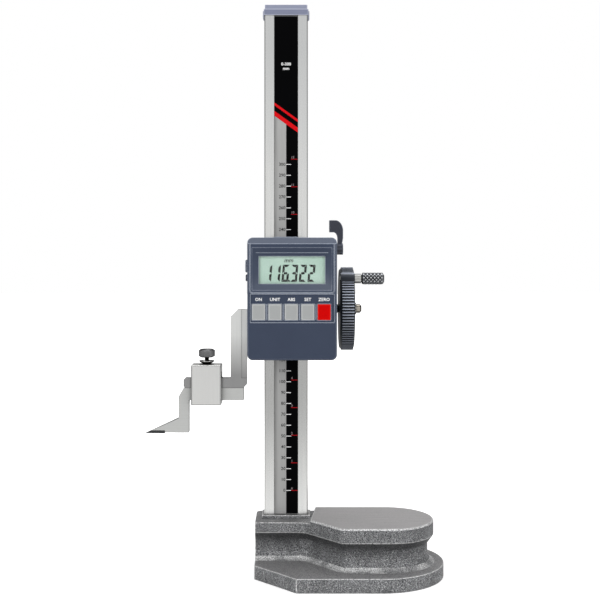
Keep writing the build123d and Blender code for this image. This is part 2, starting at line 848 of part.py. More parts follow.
# Gear case on the back of the frame, closed round the pinion
tip_radius = pitch_radius + gear_module
cavity_radius = tip_radius + gear_cavity_gap
case_back_radius = cavity_radius + gear_case_wall
with BuildPart() as gear_case:
    with BuildSketch(Plane.YZ.offset(gear_case_left)):
        with Locations((wheel_y, wheel_z)):
            Circle(case_back_radius)
        with Locations(((frame_back + wheel_y) / 2, wheel_z)):
            Rectangle(wheel_y - frame_back, 2 * case_back_radius)
        with Locations((frame_back + gear_flange_thickness / 2, wheel_z)):
            Rectangle(gear_flange_thickness, gear_flange_height)
        with Locations((frame_back - case_back_radius, wheel_z)):
            Rectangle(2 * case_back_radius, 4 * case_back_radius, mode=Mode.SUBTRACT)
    extrude(amount=gear_case_right - gear_case_left)
    with BuildSketch(Plane.YZ.offset(gear_case_right)):
        with Locations((wheel_y, wheel_z)):
            Circle(gear_boss_radius)
        with Locations((frame_back - gear_boss_radius, wheel_z)):
            Rectangle(2 * gear_boss_radius, 4 * gear_boss_radius, mode=Mode.SUBTRACT)
    extrude(amount=frame_right + bolt_gap - gear_case_right)
    with BuildSketch(Plane.YZ.offset(frame_right + bolt_gap)):
        with Locations((wheel_y, wheel_z)):
            Circle(gear_boss_radius)
    extrude(amount=gear_boss_reach - frame_right - bolt_gap)
    with BuildSketch(Plane.YZ.offset(-gear_cavity_width / 2)):
        with Locations((wheel_y, wheel_z)):
            Circle(cavity_radius)
        with Locations(((frame_back + wheel_y) / 2, wheel_z)):
            Rectangle(wheel_y - frame_back, 2 * cavity_radius)
    extrude(amount=gear_cavity_width, mode=Mode.SUBTRACT)
    with Locations(facing((gear_boss_reach, wheel_y, wheel_z), (1, 0, 0))):
        Hole(
            radius=bush_outer_radius + bush_gap,
            depth=gear_boss_reach - shaft_left + bush_gap,
        )
    flange_back_y = frame_back + gear_flange_thickness
    with Locations(*[facing((x, flange_back_y, z), (0, 1, 0)) for x, z in gear_screw_places]):
        Hole(radius=gear_screw_radius + bolt_gap, depth=gear_flange_thickness)
gear_case.part.label = "gear_case"
export_step(gear_case.part, "parts/gear_case.step")

with BuildPart() as gear_case_screws:
    for x, z in gear_screw_places:
        head_y = frame_back + gear_flange_thickness
        with BuildSketch(facing((x, head_y, z), (0, 1, 0))):
            Circle(gear_screw_head_radius)
        extrude(amount=gear_screw_head_height)
        with BuildSketch(facing((x, head_y, z), (0, -1, 0))):
            Circle(gear_screw_radius)
        extrude(amount=gear_flange_thickness + gear_screw_bite)
        with BuildSketch(facing((x, head_y + gear_screw_head_height, z), (0, -1, 0))):
            RegularPolygon(gear_screw_head_radius / 2, 6)
        extrude(amount=gear_screw_head_height / 2, mode=Mode.SUBTRACT)
gear_case_screws.part.label = "gear_case_screws"
export_step(gear_case_screws.part, "parts/gear_case_screws.step")

# Bushes for the wheel shaft
bush_starts = {"bush_left": shaft_left, "bush_right": gear_boss_reach - bush_length}
for name, start in bush_starts.items():
    with BuildPart() as bush:
        with BuildSketch(Plane.YZ.offset(start)):
            with Locations((wheel_y, wheel_z)):
                Circle(bush_outer_radius)
                Circle(shaft_radius + bush_gap, mode=Mode.SUBTRACT)
        extrude(amount=bush_length)
    bush.part.label = name
    export_step(bush.part, f"parts/{name}.step")

# Wheel shaft, with a thinner end for the washer and nut
with BuildPart() as wheel_shaft:
    with BuildSketch(Plane.YZ.offset(shaft_left + bush_gap)):
        with Locations((wheel_y, wheel_z)):
            Circle(shaft_radius)
    extrude(amount=wheel_hub_face - shaft_left - bush_gap)
    with BuildSketch(Plane.YZ.offset(wheel_hub_face)):
        with Locations((wheel_y, wheel_z)):
            Circle(shaft_end_radius)
    extrude(amount=washer_thickness + nut_length / 2)
wheel_shaft.part.label = "wheel_shaft"
export_step(wheel_shaft.part, "parts/wheel_shaft.step")

# Pinion: involute teeth, one of them in the rack gap at rest
base_radius = pitch_radius * cos(pressure_angle)
root_radius = pitch_radius - root_depth
pitch_involute = tan(pressure_angle) - pressure_angle
half_tooth_angle = (tooth_pitch / 2 - tooth_backlash) / 2 / pitch_radius
flank = []
for step in range(flank_steps + 1):
    radius = base_radius + (tip_radius - base_radius) * step / flank_steps
    roll = sqrt((radius / base_radius) ** 2 - 1)
    flank.append((radius, half_tooth_angle + pitch_involute - (roll - atan(roll))))
flank_up = [(radius * cos(angle), radius * sin(angle)) for radius, angle in flank]
flank_down = [(x, -y) for x, y in reversed(flank_up)]
tooth_foot = root_radius * cos(flank[0][1]) - gear_module / 4
with BuildSketch() as tooth_profile:
    with BuildLine():
        Polyline(
            *flank_up,
            *flank_down,
            (tooth_foot, flank_down[-1][1]),
            (tooth_foot, flank_up[0][1]),
            close=True,
        )
    make_face()
with BuildPart() as pinion:
    with BuildSketch(Plane.YZ.offset(-pinion_width / 2)):
        with Locations((wheel_y, wheel_z)):
            Circle(root_radius)
            with PolarLocations(0, pinion_teeth):
                add(tooth_profile.sketch)
            Circle(shaft_radius + socket_gap, mode=Mode.SUBTRACT)
    extrude(amount=pinion_width)
pinion.part.label = "pinion"
export_step(pinion.part, "parts/pinion.step")

# Handwheel: fluted rim, web, hub and the boss for the crank
crank_z = wheel_z + crank_rise
crank_y = wheel_y - sqrt(crank_radius**2 - crank_rise**2)
rim_inner_radius = wheel_radius - wheel_rim_thickness
with BuildPart() as handwheel:
    with BuildSketch(Plane.YZ.offset(wheel_left)):
        with Locations((wheel_y, wheel_z)):
            Circle(wheel_radius - wheel_flute_depth - wheel_core_drop)
    extrude(amount=wheel_right - wheel_left)
    chamfer(handwheel.edges().filter_by(GeomType.CIRCLE), wheel_edge)
    with BuildSketch(Plane.YZ.offset(wheel_left + wheel_shoulder_left)):
        with Locations((wheel_y, wheel_z)):
            Circle(wheel_radius)
            with PolarLocations(wheel_radius, wheel_flutes):
                Polygon(
                    (-wheel_flute_depth, -wheel_flute_floor / 2),
                    (wheel_flute_depth, -wheel_flute_width + wheel_flute_floor / 2),
                    (wheel_flute_depth, wheel_flute_width - wheel_flute_floor / 2),
                    (-wheel_flute_depth, wheel_flute_floor / 2),
                    align=None,
                    mode=Mode.SUBTRACT,
                )
    extrude(amount=wheel_right - wheel_left - wheel_shoulder_left - wheel_shoulder_right)
    with BuildSketch(Plane.YZ.offset(wheel_right)):
        with Locations((wheel_y, wheel_z)):
            Circle(rim_inner_radius)
            Circle(wheel_hub_radius, mode=Mode.SUBTRACT)
    extrude(amount=wheel_left + wheel_web_thickness - wheel_right, mode=Mode.SUBTRACT)
    with BuildSketch(Plane.YZ.offset(wheel_right)):
        with Locations((wheel_y, wheel_z)):
            Circle(wheel_hub_step_radius)
    extrude(amount=wheel_hub_rise)
    with BuildSketch(Plane.YZ.offset(wheel_left + crank_boss_edge)):
        with Locations((crank_y, crank_z)):
            Circle(crank_boss_radius)
    extrude(amount=wheel_right - wheel_left - crank_boss_edge)
    with Locations(facing((wheel_hub_face, wheel_y, wheel_z), (1, 0, 0))):
        Hole(radius=shaft_radius + socket_gap, depth=wheel_hub_face - wheel_left)
    with Locations(facing((wheel_right, crank_y, crank_z), (1, 0, 0))):
        Hole(radius=crank_pin_radius + socket_gap, depth=wheel_right - wheel_left)
handwheel.part.label = "handwheel"
export_step(handwheel.part, "parts/handwheel.step")

washer_right = wheel_hub_face + washer_thickness
with BuildPart() as wheel_washer:
    with BuildSketch(Plane.YZ.offset(wheel_hub_face)):
        with Locations((wheel_y, wheel_z)):
            Circle(washer_radius)
            Circle(shaft_radius + bolt_gap, mode=Mode.SUBTRACT)
    extrude(amount=washer_thickness)
wheel_washer.part.label = "wheel_washer"
export_step(wheel_washer.part, "parts/wheel_washer.step")

# Domed nut on the end of the shaft
with BuildPart() as wheel_nut:
    with BuildSketch(Plane.YZ.offset(washer_right)):
        with Locations((wheel_y, wheel_z)):
            Circle(nut_radius)
    extrude(amount=nut_length)
    chamfer(wheel_nut.faces().sort_by(Axis.X)[-1].edges(), nut_edge)
    with Locations(facing((washer_right, wheel_y, wheel_z), (-1, 0, 0))):
        Hole(radius=shaft_end_radius + thread_gap, depth=nut_length / 2 + thread_gap)
wheel_nut.part.label = "wheel_nut"
export_step(wheel_nut.part, "parts/wheel_nut.step")

# Crank pin: a shouldered screw that the grip turns on
crank_head_left = crank_grip_end - crank_head_height
with BuildPart() as crank_pin:
    with BuildSketch(Plane.YZ.offset(wheel_left)):
        with Locations((crank_y, crank_z)):
            Circle(crank_pin_radius)
    extrude(amount=crank_grip_end - wheel_left)
    with BuildSketch(Plane.YZ.offset(wheel_right)):
        with Locations((crank_y, crank_z)):
            Circle(crank_collar_radius)
    extrude(amount=crank_collar_end - wheel_right)
    with BuildSketch(Plane.YZ.offset(crank_head_left)):
        with Locations((crank_y, crank_z)):
            Circle(crank_head_radius)
    extrude(amount=crank_head_height)
    span_box(
        (crank_grip_end - crank_slot, crank_y - crank_head_radius, crank_z - crank_slot / 2),
        (crank_grip_end, crank_y + crank_head_radius, crank_z + crank_slot / 2),
        mode=Mode.SUBTRACT,
    )
crank_pin.part.label = "crank_pin"
export_step(crank_pin.part, "parts/crank_pin.step")

# Crank grip: a sleeve with bevelled ends, free to turn on its pin
crank_grip_left = crank_collar_end + crank_grip_gap
with BuildPart() as crank_grip:
    with BuildSketch(Plane.YZ.offset(crank_grip_left)):
        with Locations((crank_y, crank_z)):
            Circle(crank_grip_radius)
    extrude(amount=crank_grip_end - crank_grip_left)
    chamfer(crank_grip.faces().sort_by(Axis.X)[0].edges(), crank_grip_edge)
    chamfer(crank_grip.faces().sort_by(Axis.X)[-1].edges(), crank_grip_end_edge)
    with Locations(facing((crank_grip_end, crank_y, crank_z), (1, 0, 0))):
        CounterBoreHole(
            radius=crank_pin_radius + crank_grip_gap,
            counter_bore_radius=crank_head_radius + crank_grip_gap,
            counter_bore_depth=crank_head_height + crank_grip_gap,
            depth=crank_grip_end - crank_grip_left,
        )
crank_grip.part.label = "crank_grip"
export_step(crank_grip.part, "parts/crank_grip.step")

# Housing: a front shell with its display bezel and key field, and a rear cover
case_middle_x = (case_left + case_right) / 2
case_middle_z = (case_bottom + case_top) / 2
case_width = case_right - case_left
case_height = case_top - case_bottom
case_inner_width = case_width - 2 * case_wall
case_inner_height = case_height - 2 * case_wall
view_middle = ((view_left + view_right) / 2, (view_bottom + view_top) / 2)
view_width = view_right - view_left
view_height = view_top - view_bottom
bezel_floor_y = case_front + bezel_depth
window_front_y = bezel_floor_y + bezel_lip
window_back_y = window_front_y + window_thickness
panel_front_y = window_back_y + stack_gap
board_front_y = panel_front_y + panel_thickness + stack_gap
board_back_y = board_front_y + board_thickness
key_floor_y = case_front + key_field_depth
key_wall_y = key_floor_y + case_wall - key_field_depth
key_places = [
    (key_middle_x + (i - (key_count - 1) / 2) * key_pitch, key_middle_z) for i in range(key_count)
]
drawer_height = cell_thickness + 2 * drawer_floor
drawer_depth = 2 * (cell_radius + drawer_wall + fit_gap)
drawer_length = 2 * (cell_radius + drawer_wall + fit_gap)
drawer_hole_height = drawer_height + 2 * drawer_gap
drawer_hole_depth = drawer_depth + 2 * drawer_gap
drawer_inner_x = case_left + drawer_length + case_wall
sensor_seat_y = guide_front - sensor_board_gap - sensor_board_thickness
guard_back_y = guide_front - sensor_board_gap
with BuildPart() as housing_front:
    with BuildSketch(Plane.XZ.offset(-case_split)):
        with Locations((case_middle_x, case_middle_z)):
            RectangleRounded(case_width, case_height, case_corner)
    extrude(amount=case_split - case_front)
    fillet(housing_front.faces().sort_by(Axis.Y)[0].edges(), case_edge)
    with BuildSketch(Plane.YZ.offset(case_left)):
        with BuildLine():
            Polyline(
                (case_front, case_top),
                (case_front, case_top - case_top_slope_height),
                (case_front + case_top_slope_depth, case_top),
                close=True,
            )
        make_face()
    extrude(amount=case_width, mode=Mode.SUBTRACT)
    with BuildSketch(Plane.XZ.offset(-case_split)):
        with Locations((case_middle_x, case_middle_z)):
            RectangleRounded(case_inner_width, case_inner_height, case_corner - case_wall)
    extrude(amount=case_split - case_front - case_top_slope_depth - case_wall, mode=Mode.SUBTRACT)
    with BuildSketch(Plane.XZ.offset(-board_front_y)):
        with Locations((case_middle_x, (case_bottom + case_top - case_top_slope_height) / 2)):
            Rectangle(case_inner_width, case_inner_height - case_top_slope_height)
    extrude(amount=board_front_y - key_wall_y, mode=Mode.SUBTRACT)
    with BuildSketch(Plane.XZ.offset(-window_back_y)):
        with Locations(view_middle):
            Rectangle(view_width + 4 * window_lap, view_height + 4 * window_lap)
    extrude(amount=window_back_y - key_wall_y)
    with BuildSketch(Plane.XZ.offset(-bezel_floor_y)):
        with Locations(view_middle):
            Rectangle(view_width, view_height)
    with BuildSketch(Plane.XZ.offset(-case_front)):
        with Locations((view_middle[0], view_middle[1] + (bezel_top - bezel_bottom) / 2)):
            Rectangle(view_width + 2 * bezel_side, view_height + bezel_top + bezel_bottom)
    loft(mode=Mode.SUBTRACT)
    with BuildSketch(Plane.XZ.offset(-window_back_y)):
        with Locations(view_middle):
            Rectangle(view_width, view_height)
    extrude(amount=window_back_y - bezel_floor_y, mode=Mode.SUBTRACT)
    with BuildSketch(Plane.XZ.offset(-window_back_y)):
        with Locations(view_middle):
            Rectangle(view_width + 2 * (window_lap + fit_gap), view_height + 2 * (window_lap + fit_gap))
    extrude(amount=window_back_y - window_front_y, mode=Mode.SUBTRACT)
    with BuildSketch(Plane.XZ.offset(-case_front)):
        with Locations(((outline_left + outline_right) / 2, (outline_bottom + case_top) / 2)):
            RectangleRounded(outline_right - outline_left, case_top - outline_bottom, outline_radius)
            RectangleRounded(
                outline_right - outline_left - 2 * outline_width,
                case_top - outline_bottom - 2 * outline_width,
                outline_radius - outline_width,
                mode=Mode.SUBTRACT,
            )
        with Locations((case_middle_x, case_top)):
            Rectangle(case_width, 2 * case_top_slope_height, mode=Mode.SUBTRACT)
    extrude(amount=-outline_depth, mode=Mode.SUBTRACT)
    span_box(
        (key_field_left, case_front, key_field_bottom),
        (key_field_right, key_floor_y, key_field_top),
        mode=Mode.SUBTRACT,
    )
    for x, z in key_places[:-1]:
        span_box(
            (x + key_pitch / 2 - key_rib_width / 2, case_front, z - key_height / 2),
            (x + key_pitch / 2 + key_rib_width / 2, key_floor_y, z + key_height / 2),
        )
    with BuildSketch(Plane.XZ.offset(-key_wall_y)):
        with Locations(*key_places):
            Rectangle(key_width + 2 * key_side_gap, key_height + 2 * key_side_gap)
    extrude(amount=key_wall_y - key_floor_y, mode=Mode.SUBTRACT)
    with BuildSketch(Plane.XZ.offset(-case_split)):
        with Locations(*case_screw_places):
            Circle(case_boss_radius)
    extrude(amount=case_split - key_wall_y)
    with Locations(*[facing((x, case_split, z), (0, 1, 0)) for x, z in case_screw_places]):
        Hole(radius=case_screw_radius + thread_gap, depth=case_screw_length)
    span_box(
        (case_left, drawer_y - drawer_hole_depth / 2, drawer_z - drawer_hole_height / 2),
        (case_left + case_wall, drawer_y + drawer_hole_depth / 2, drawer_z + drawer_hole_height / 2),
        mode=Mode.SUBTRACT,
    )
    span_box(
        (case_left, drawer_y - port_width / 2 - port_gap, port_z - port_height / 2 - port_gap),
        (case_left + case_wall, drawer_y + port_width / 2 + port_gap, port_z + port_height / 2 + port_gap),
        mode=Mode.SUBTRACT,
    )
housing_front.part.label = "housing_front"
export_step(housing_front.part, "parts/housing_front.step")

with BuildPart() as housing_rear:
    with BuildSketch(Plane.XZ.offset(-frame_front)):
        with Locations((case_middle_x, case_middle_z)):
            RectangleRounded(case_width, case_height, case_corner)
    extrude(amount=frame_front - case_split)
    span_box(
        (sensor_pad_gap - sensor_window_width / 2, frame_front, sensor_window_bottom + sensor_pad_gap),
        (sensor_window_width / 2 - sensor_pad_gap, sensor_seat_y, sensor_window_top - sensor_pad_gap),
    )
    span_box(
        (-guard_width / 2, case_split, case_top - case_wall),
        (guard_width / 2, guard_back_y, case_top + guard_height),
    )
    for side in (-1, 1):
        rail_inner = drawer_z + side * (drawer_height / 2 + drawer_gap)
        rail_outer = rail_inner + side * drawer_rail
        span_box(
            (case_left + case_wall + drawer_gap, case_split - drawer_depth, min(rail_inner, rail_outer)),
            (drawer_inner_x, case_split, max(rail_inner, rail_outer)),
        )
    with Locations(*[facing((x, frame_front, z), (0, 1, 0)) for x, z in case_screw_places]):
        Hole(radius=case_screw_radius + bolt_gap, depth=frame_front - case_split)
housing_rear.part.label = "housing_rear"
export_step(housing_rear.part, "parts/housing_rear.step")

# Window, liquid-crystal panel and circuit board
with BuildPart() as display_window:
    with BuildSketch(Plane.XZ.offset(-window_back_y)):
        with Locations(view_middle):
            Rectangle(view_width + 2 * window_lap, view_height + 2 * window_lap)
    extrude(amount=window_thickness)
display_window.part.label = "display_window"
export_step(display_window.part, "parts/display_window.step")

with BuildPart() as display_panel:
    with BuildSketch(Plane.XZ.offset(-panel_front_y - panel_thickness)):
        with Locations(view_middle):
            Rectangle(view_width + 2 * panel_lap, view_height + 2 * panel_lap)
    extrude(amount=panel_thickness)
display_panel.part.label = "display_panel"
export_step(display_panel.part, "parts/display_panel.step")

board_width = case_inner_width - 2 * board_margin
board_height = case_inner_height - 2 * board_margin
with BuildPart() as main_board:
    with BuildSketch(Plane.XZ.offset(-board_back_y)):
        with Locations((case_middle_x, case_middle_z)):
            RectangleRounded(board_width, board_height, case_corner - case_wall)
        with Locations(*case_screw_places):
            Circle(case_boss_radius + fit_gap, mode=Mode.SUBTRACT)
    extrude(amount=board_thickness)
main_board.part.label = "main_board"
export_step(main_board.part, "parts/main_board.step")

# Sensor board that reads the strip through the frame's window
with BuildPart() as sensor_board:
    span_box(
        (sensor_pad_gap - strip_width / 2, sensor_seat_y, sensor_window_bottom + sensor_board_margin),
        (
            strip_width / 2 - sensor_pad_gap,
            sensor_seat_y + sensor_board_thickness,
            sensor_window_top - sensor_board_margin,
        ),
    )
sensor_board.part.label = "sensor_board"
export_step(sensor_board.part, "parts/sensor_board.step")

# Rubber key mat and the five keys, each with a lip behind the wall
key_lip_front_y = key_wall_y + stack_gap
key_lip_back_y = key_lip_front_y + key_lip_thickness
mat_front_y = key_lip_back_y + key_travel + stack_gap
with BuildPart() as key_mat:
    with BuildSketch(Plane.XZ.offset(-board_front_y)):
        with Locations((key_middle_x, key_middle_z)):
            Rectangle(key_count * key_pitch - mat_margin, key_height + 2 * mat_margin)
    extrude(amount=board_front_y - mat_front_y)
key_mat.part.label = "key_mat"
export_step(key_mat.part, "parts/key_mat.step")

for number, (x, z) in enumerate(key_places, start=1):
    with BuildPart() as key:
        with BuildSketch(Plane.XZ.offset(-key_lip_front_y)):
            with Locations((x, z)):
                Rectangle(key_width, key_height)
        extrude(amount=key_lip_front_y - key_floor_y + key_rise)
        chamfer(key.faces().sort_by(Axis.Y)[0].edges(), key_edge)
        with BuildSketch(Plane.XZ.offset(-key_lip_back_y)):
            with Locations((x, z)):
                Rectangle(key_width + 2 * key_lip, key_height + 2 * key_lip)
        extrude(amount=key_lip_thickness)
    key.part.label = f"key_{number}"
    export_step(key.part, f"parts/key_{number}.step")

# Battery drawer with its cell, on rails behind the left wall
cell_x = drawer_inner_x - drawer_wall - fit_gap - cell_radius
drawer_bottom = drawer_z - drawer_height / 2
with BuildPart() as battery_drawer:
    span_box(
        (case_left, drawer_y - drawer_depth / 2, drawer_bottom),
        (drawer_inner_x, drawer_y + drawer_depth / 2, drawer_bottom + drawer_height),
    )
    with BuildSketch(Plane.XY.offset(drawer_bottom + drawer_floor)):
        with Locations((cell_x, drawer_y)):
            Circle(cell_radius + fit_gap)
    extrude(amount=drawer_height, mode=Mode.SUBTRACT)
    with BuildSketch(Plane.YZ.offset(case_left)):
        with Locations((drawer_y, drawer_z)):
            RectangleRounded(drawer_lip_depth, drawer_lip_height, drawer_lip_thickness)
    extrude(amount=-drawer_lip_thickness)
    chamfer(battery_drawer.faces().sort_by(Axis.X)[0].edges(), drawer_lip_thickness / 3)
battery_drawer.part.label = "battery_drawer"
export_step(battery_drawer.part, "parts/battery_drawer.step")

with BuildPart() as battery_cell:
    with BuildSketch(Plane.XY.offset(drawer_bottom + drawer_floor)):
        with Locations((cell_x, drawer_y)):
            Circle(cell_radius)
    extrude(amount=cell_thickness)
    chamfer(battery_cell.edges().filter_by(GeomType.CIRCLE), drawer_wall / 2)
battery_cell.part.label = "battery_cell"
export_step(battery_cell.part, "parts/battery_cell.step")

# Data port: a socket on the board and a rubber cover in the left wall
port_mouth_x = case_left + case_wall + port_gap
port_inner_half_width = port_width / 2 - port_wall
port_inner_half_height = port_height / 2 - port_wall
plug_half_width = port_inner_half_width - port_gap
plug_half_height = port_inner_half_height - port_gap
with BuildPart() as port_socket:
    span_box(
        (port_mouth_x, board_back_y, port_z - port_height / 2),
        (port_mouth_x + port_depth, drawer_y + port_width / 2, port_z + port_height / 2),
    )
    span_box(
        (port_mouth_x, drawer_y - port_inner_half_width, port_z - port_inner_half_height),
        (port_mouth_x + port_plug_length, drawer_y + port_inner_half_width, port_z + port_inner_half_height),
        mode=Mode.SUBTRACT,
    )
port_socket.part.label = "port_socket"
export_step(port_socket.part, "parts/port_socket.step")

with BuildPart() as port_cover:
    with BuildSketch(Plane.YZ.offset(case_left)):
        with Locations((drawer_y, port_z)):
            RectangleRounded(port_cover_depth, port_cover_height, port_cover_thickness)
    extrude(amount=-port_cover_thickness)
    chamfer(port_cover.faces().sort_by(Axis.X)[0].edges(), port_cover_thickness / 3)
    span_box(
        (case_left, drawer_y - plug_half_width, port_z - plug_half_height),
        (port_mouth_x + port_plug_length - port_gap, drawer_y + plug_half_width, port_z + plug_half_height),
    )
port_cover.part.label = "port_cover"
export_step(port_cover.part, "parts/port_cover.step")

# Countersunk screws from inside the frame into the housing's bosses
with BuildPart() as housing_screws:
    for x, z in case_screw_places:
        with BuildSketch(facing((x, guide_front - case_screw_sink, z), (0, -1, 0))):
            Circle(case_screw_radius)
        extrude(amount=case_screw_length)
        with BuildSketch(facing((x, guide_front - case_screw_sink, z), (0, -1, 0))):
            Circle(case_screw_head_radius - case_screw_sink)
        extrude(amount=case_screw_head_radius - case_screw_sink - case_screw_radius, taper=45)
housing_screws.part.label = "housing_screws"
export_step(housing_screws.part, "parts/housing_screws.step")

# Scriber: shank, leg and a foot that narrows to the tip, with carbide under it
scriber_top = bar_bottom - scriber_shank_gap
scriber_bottom = scriber_top - scriber_height
slope = scriber_slope_rise / (scriber_left - scriber_tip_x)
carbide_back_x = scriber_tip_x + carbide_length
carbide_top_z = scriber_tip_z + carbide_thickness
carbide_nose_x = scriber_tip_x + carbide_thickness / slope
bar_middle_y = (arm_front + arm_back) / 2
bar_depth = arm_back - arm_front
with BuildPart() as nose_cut:
    for side in (-1, 1):
        with BuildSketch(Plane.XY.offset(scriber_tip_z - nose_cut_run_out)):
            with BuildLine():
                Polyline(
                    (scriber_left, bar_middle_y + side * bar_depth / 2),
                    (scriber_tip_x - nose_cut_run_out, bar_middle_y + side * scriber_nose / 2),
                    (scriber_tip_x - nose_cut_run_out, bar_middle_y + side * bar_depth),
                    (scriber_left, bar_middle_y + side * bar_depth),
                    close=True,
                )
            make_face()
        extrude(amount=scriber_slope_rise + 2 * nose_cut_run_out)

with BuildPart() as scriber:
    with BuildSketch(Plane.XZ.offset(-arm_back)):
        with BuildLine():
            Polyline(
                (scriber_right, scriber_top),
                (scriber_left + scriber_shoulder, scriber_top),
                (scriber_left, scriber_top - scriber_shoulder_drop),
                (scriber_left, scriber_tip_z + scriber_slope_rise),
                (carbide_nose_x, carbide_top_z),
                (carbide_back_x, carbide_top_z),
                (carbide_back_x, scriber_tip_z + scriber_relief),
                (scriber_left + scriber_leg_width, scriber_tip_z + scriber_relief),
                (scriber_left + scriber_leg_width, scriber_bottom),
                (scriber_right, scriber_bottom),
                close=True,
            )
        make_face()
    extrude(amount=bar_depth)
    add(nose_cut.part, mode=Mode.SUBTRACT)
scriber.part.label = "scriber"
export_step(scriber.part, "parts/scriber.step")

with BuildPart() as carbide_tip:
    with BuildSketch(Plane.XZ.offset(-arm_back)):
        with BuildLine():
            Polyline(
                (scriber_tip_x, scriber_tip_z),
                (carbide_back_x, scriber_tip_z),
                (carbide_back_x, carbide_top_z),
                (carbide_nose_x, carbide_top_z),
                close=True,
            )
        make_face()
    extrude(amount=bar_depth)
    add(nose_cut.part, mode=Mode.SUBTRACT)
carbide_tip.part.label = "carbide_tip"
export_step(carbide_tip.part, "parts/carbide_tip.step")

# Clamp box round the bar and the scriber's shank
clamp_middle_x = (clamp_left + clamp_right) / 2
window_top = bar_top + clamp_headroom
clamp_window_front = arm_front - clamp_slide_gap
clamp_window_back = arm_back + clamp_slide_gap
with BuildPart() as scriber_clamp:
    span_box(
        (clamp_left, clamp_window_front - clamp_front_wall, clamp_bottom),
        (clamp_right, clamp_window_back + clamp_front_wall, clamp_top),
    )
    chamfer(scriber_clamp.edges(), clamp_edge)
    span_box(
        (clamp_left, clamp_window_front, scriber_bottom - clamp_slide_gap),
        (clamp_right, clamp_window_back, window_top),
        mode=Mode.SUBTRACT,
    )
    with Locations(facing((clamp_middle_x, bar_middle_y, clamp_top), (0, 0, 1))):
        Hole(radius=thumb_stem_radius + thread_gap, depth=clamp_top - window_top)
scriber_clamp.part.label = "scriber_clamp"
export_step(scriber_clamp.part, "parts/scriber_clamp.step")

pad_bottom = bar_top + thumb_pad_gap
pad_top = pad_bottom + thumb_pad_height
with BuildPart() as clamp_pad:
    span_box(
        (clamp_middle_x - thumb_pad_width / 2, bar_middle_y - bar_depth / 2 + fit_gap, pad_bottom),
        (clamp_middle_x + thumb_pad_width / 2, bar_middle_y + bar_depth / 2 - fit_gap, pad_top),
    )
clamp_pad.part.label = "clamp_pad"
export_step(clamp_pad.part, "parts/clamp_pad.step")

# Cupped spring washer under the thumb screw
washer_hole_x = clamp_middle_x + thumb_stem_radius + bolt_gap
washer_flat_x = clamp_middle_x + thumb_washer_flat
washer_rim_x = clamp_middle_x + thumb_washer_radius
with BuildPart() as thumb_washer:
    with BuildSketch(Plane.XZ.offset(-bar_middle_y)):
        with BuildLine():
            Polyline(
                (washer_hole_x, clamp_top),
                (washer_flat_x, clamp_top),
                (washer_rim_x, clamp_top + thumb_washer_rise),
                (washer_rim_x, clamp_top + thumb_washer_rise + thumb_washer_thickness),
                (washer_flat_x, clamp_top + thumb_washer_thickness),
                (washer_hole_x, clamp_top + thumb_washer_thickness),
                close=True,
            )
        make_face()
    revolve(axis=Axis((clamp_middle_x, bar_middle_y, 0), (0, 0, 1)))
thumb_washer.part.label = "thumb_washer"
export_step(thumb_washer.part, "parts/thumb_washer.step")

with BuildPart() as thumb_screw:
    with BuildSketch(Plane.XY.offset(thumb_knob_bottom)):
        with Locations((clamp_middle_x, bar_middle_y)):
            Circle(thumb_knob_radius - 1.5 * thumb_flute_depth)
    extrude(amount=thumb_knob_top - thumb_knob_bottom)
    chamfer(thumb_screw.edges().filter_by(GeomType.CIRCLE), thumb_knob_edge)
    with BuildSketch(Plane.XY.offset(thumb_knob_bottom + thumb_band_margin)):
        with Locations((clamp_middle_x, bar_middle_y)):
            Circle(thumb_knob_radius)
            with PolarLocations(thumb_knob_radius, thumb_knob_flutes):
                Polygon(
                    (-thumb_flute_depth, 0),
                    (thumb_flute_depth, -thumb_flute_width),
                    (thumb_flute_depth, thumb_flute_width),
                    align=None,
                    mode=Mode.SUBTRACT,
                )
    extrude(amount=thumb_knob_top - thumb_knob_bottom - 2 * thumb_band_margin)
    with BuildSketch(Plane.XY.offset(thumb_knob_top)):
        with Locations((clamp_middle_x, bar_middle_y)):
            Circle(thumb_knob_radius - 2.5 * thumb_knob_edge)
    extrude(amount=-thumb_dish_depth, mode=Mode.SUBTRACT)
    with BuildSketch(Plane.XY.offset(pad_top + thumb_pad_gap)):
        with Locations((clamp_middle_x, bar_middle_y)):
            Circle(thumb_stem_radius)
    extrude(amount=thumb_knob_bottom - pad_top - thumb_pad_gap)
thumb_screw.part.label = "thumb_screw"
export_step(thumb_screw.part, "parts/thumb_screw.step")
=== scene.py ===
"""Digital height gauge: the finish of every piece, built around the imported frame."""
import json
import logging
import math
from dataclasses import dataclass
from enum import Enum
from typing import Any, Callable, Sequence

import bmesh
import bpy
from mathutils import Matrix, Vector

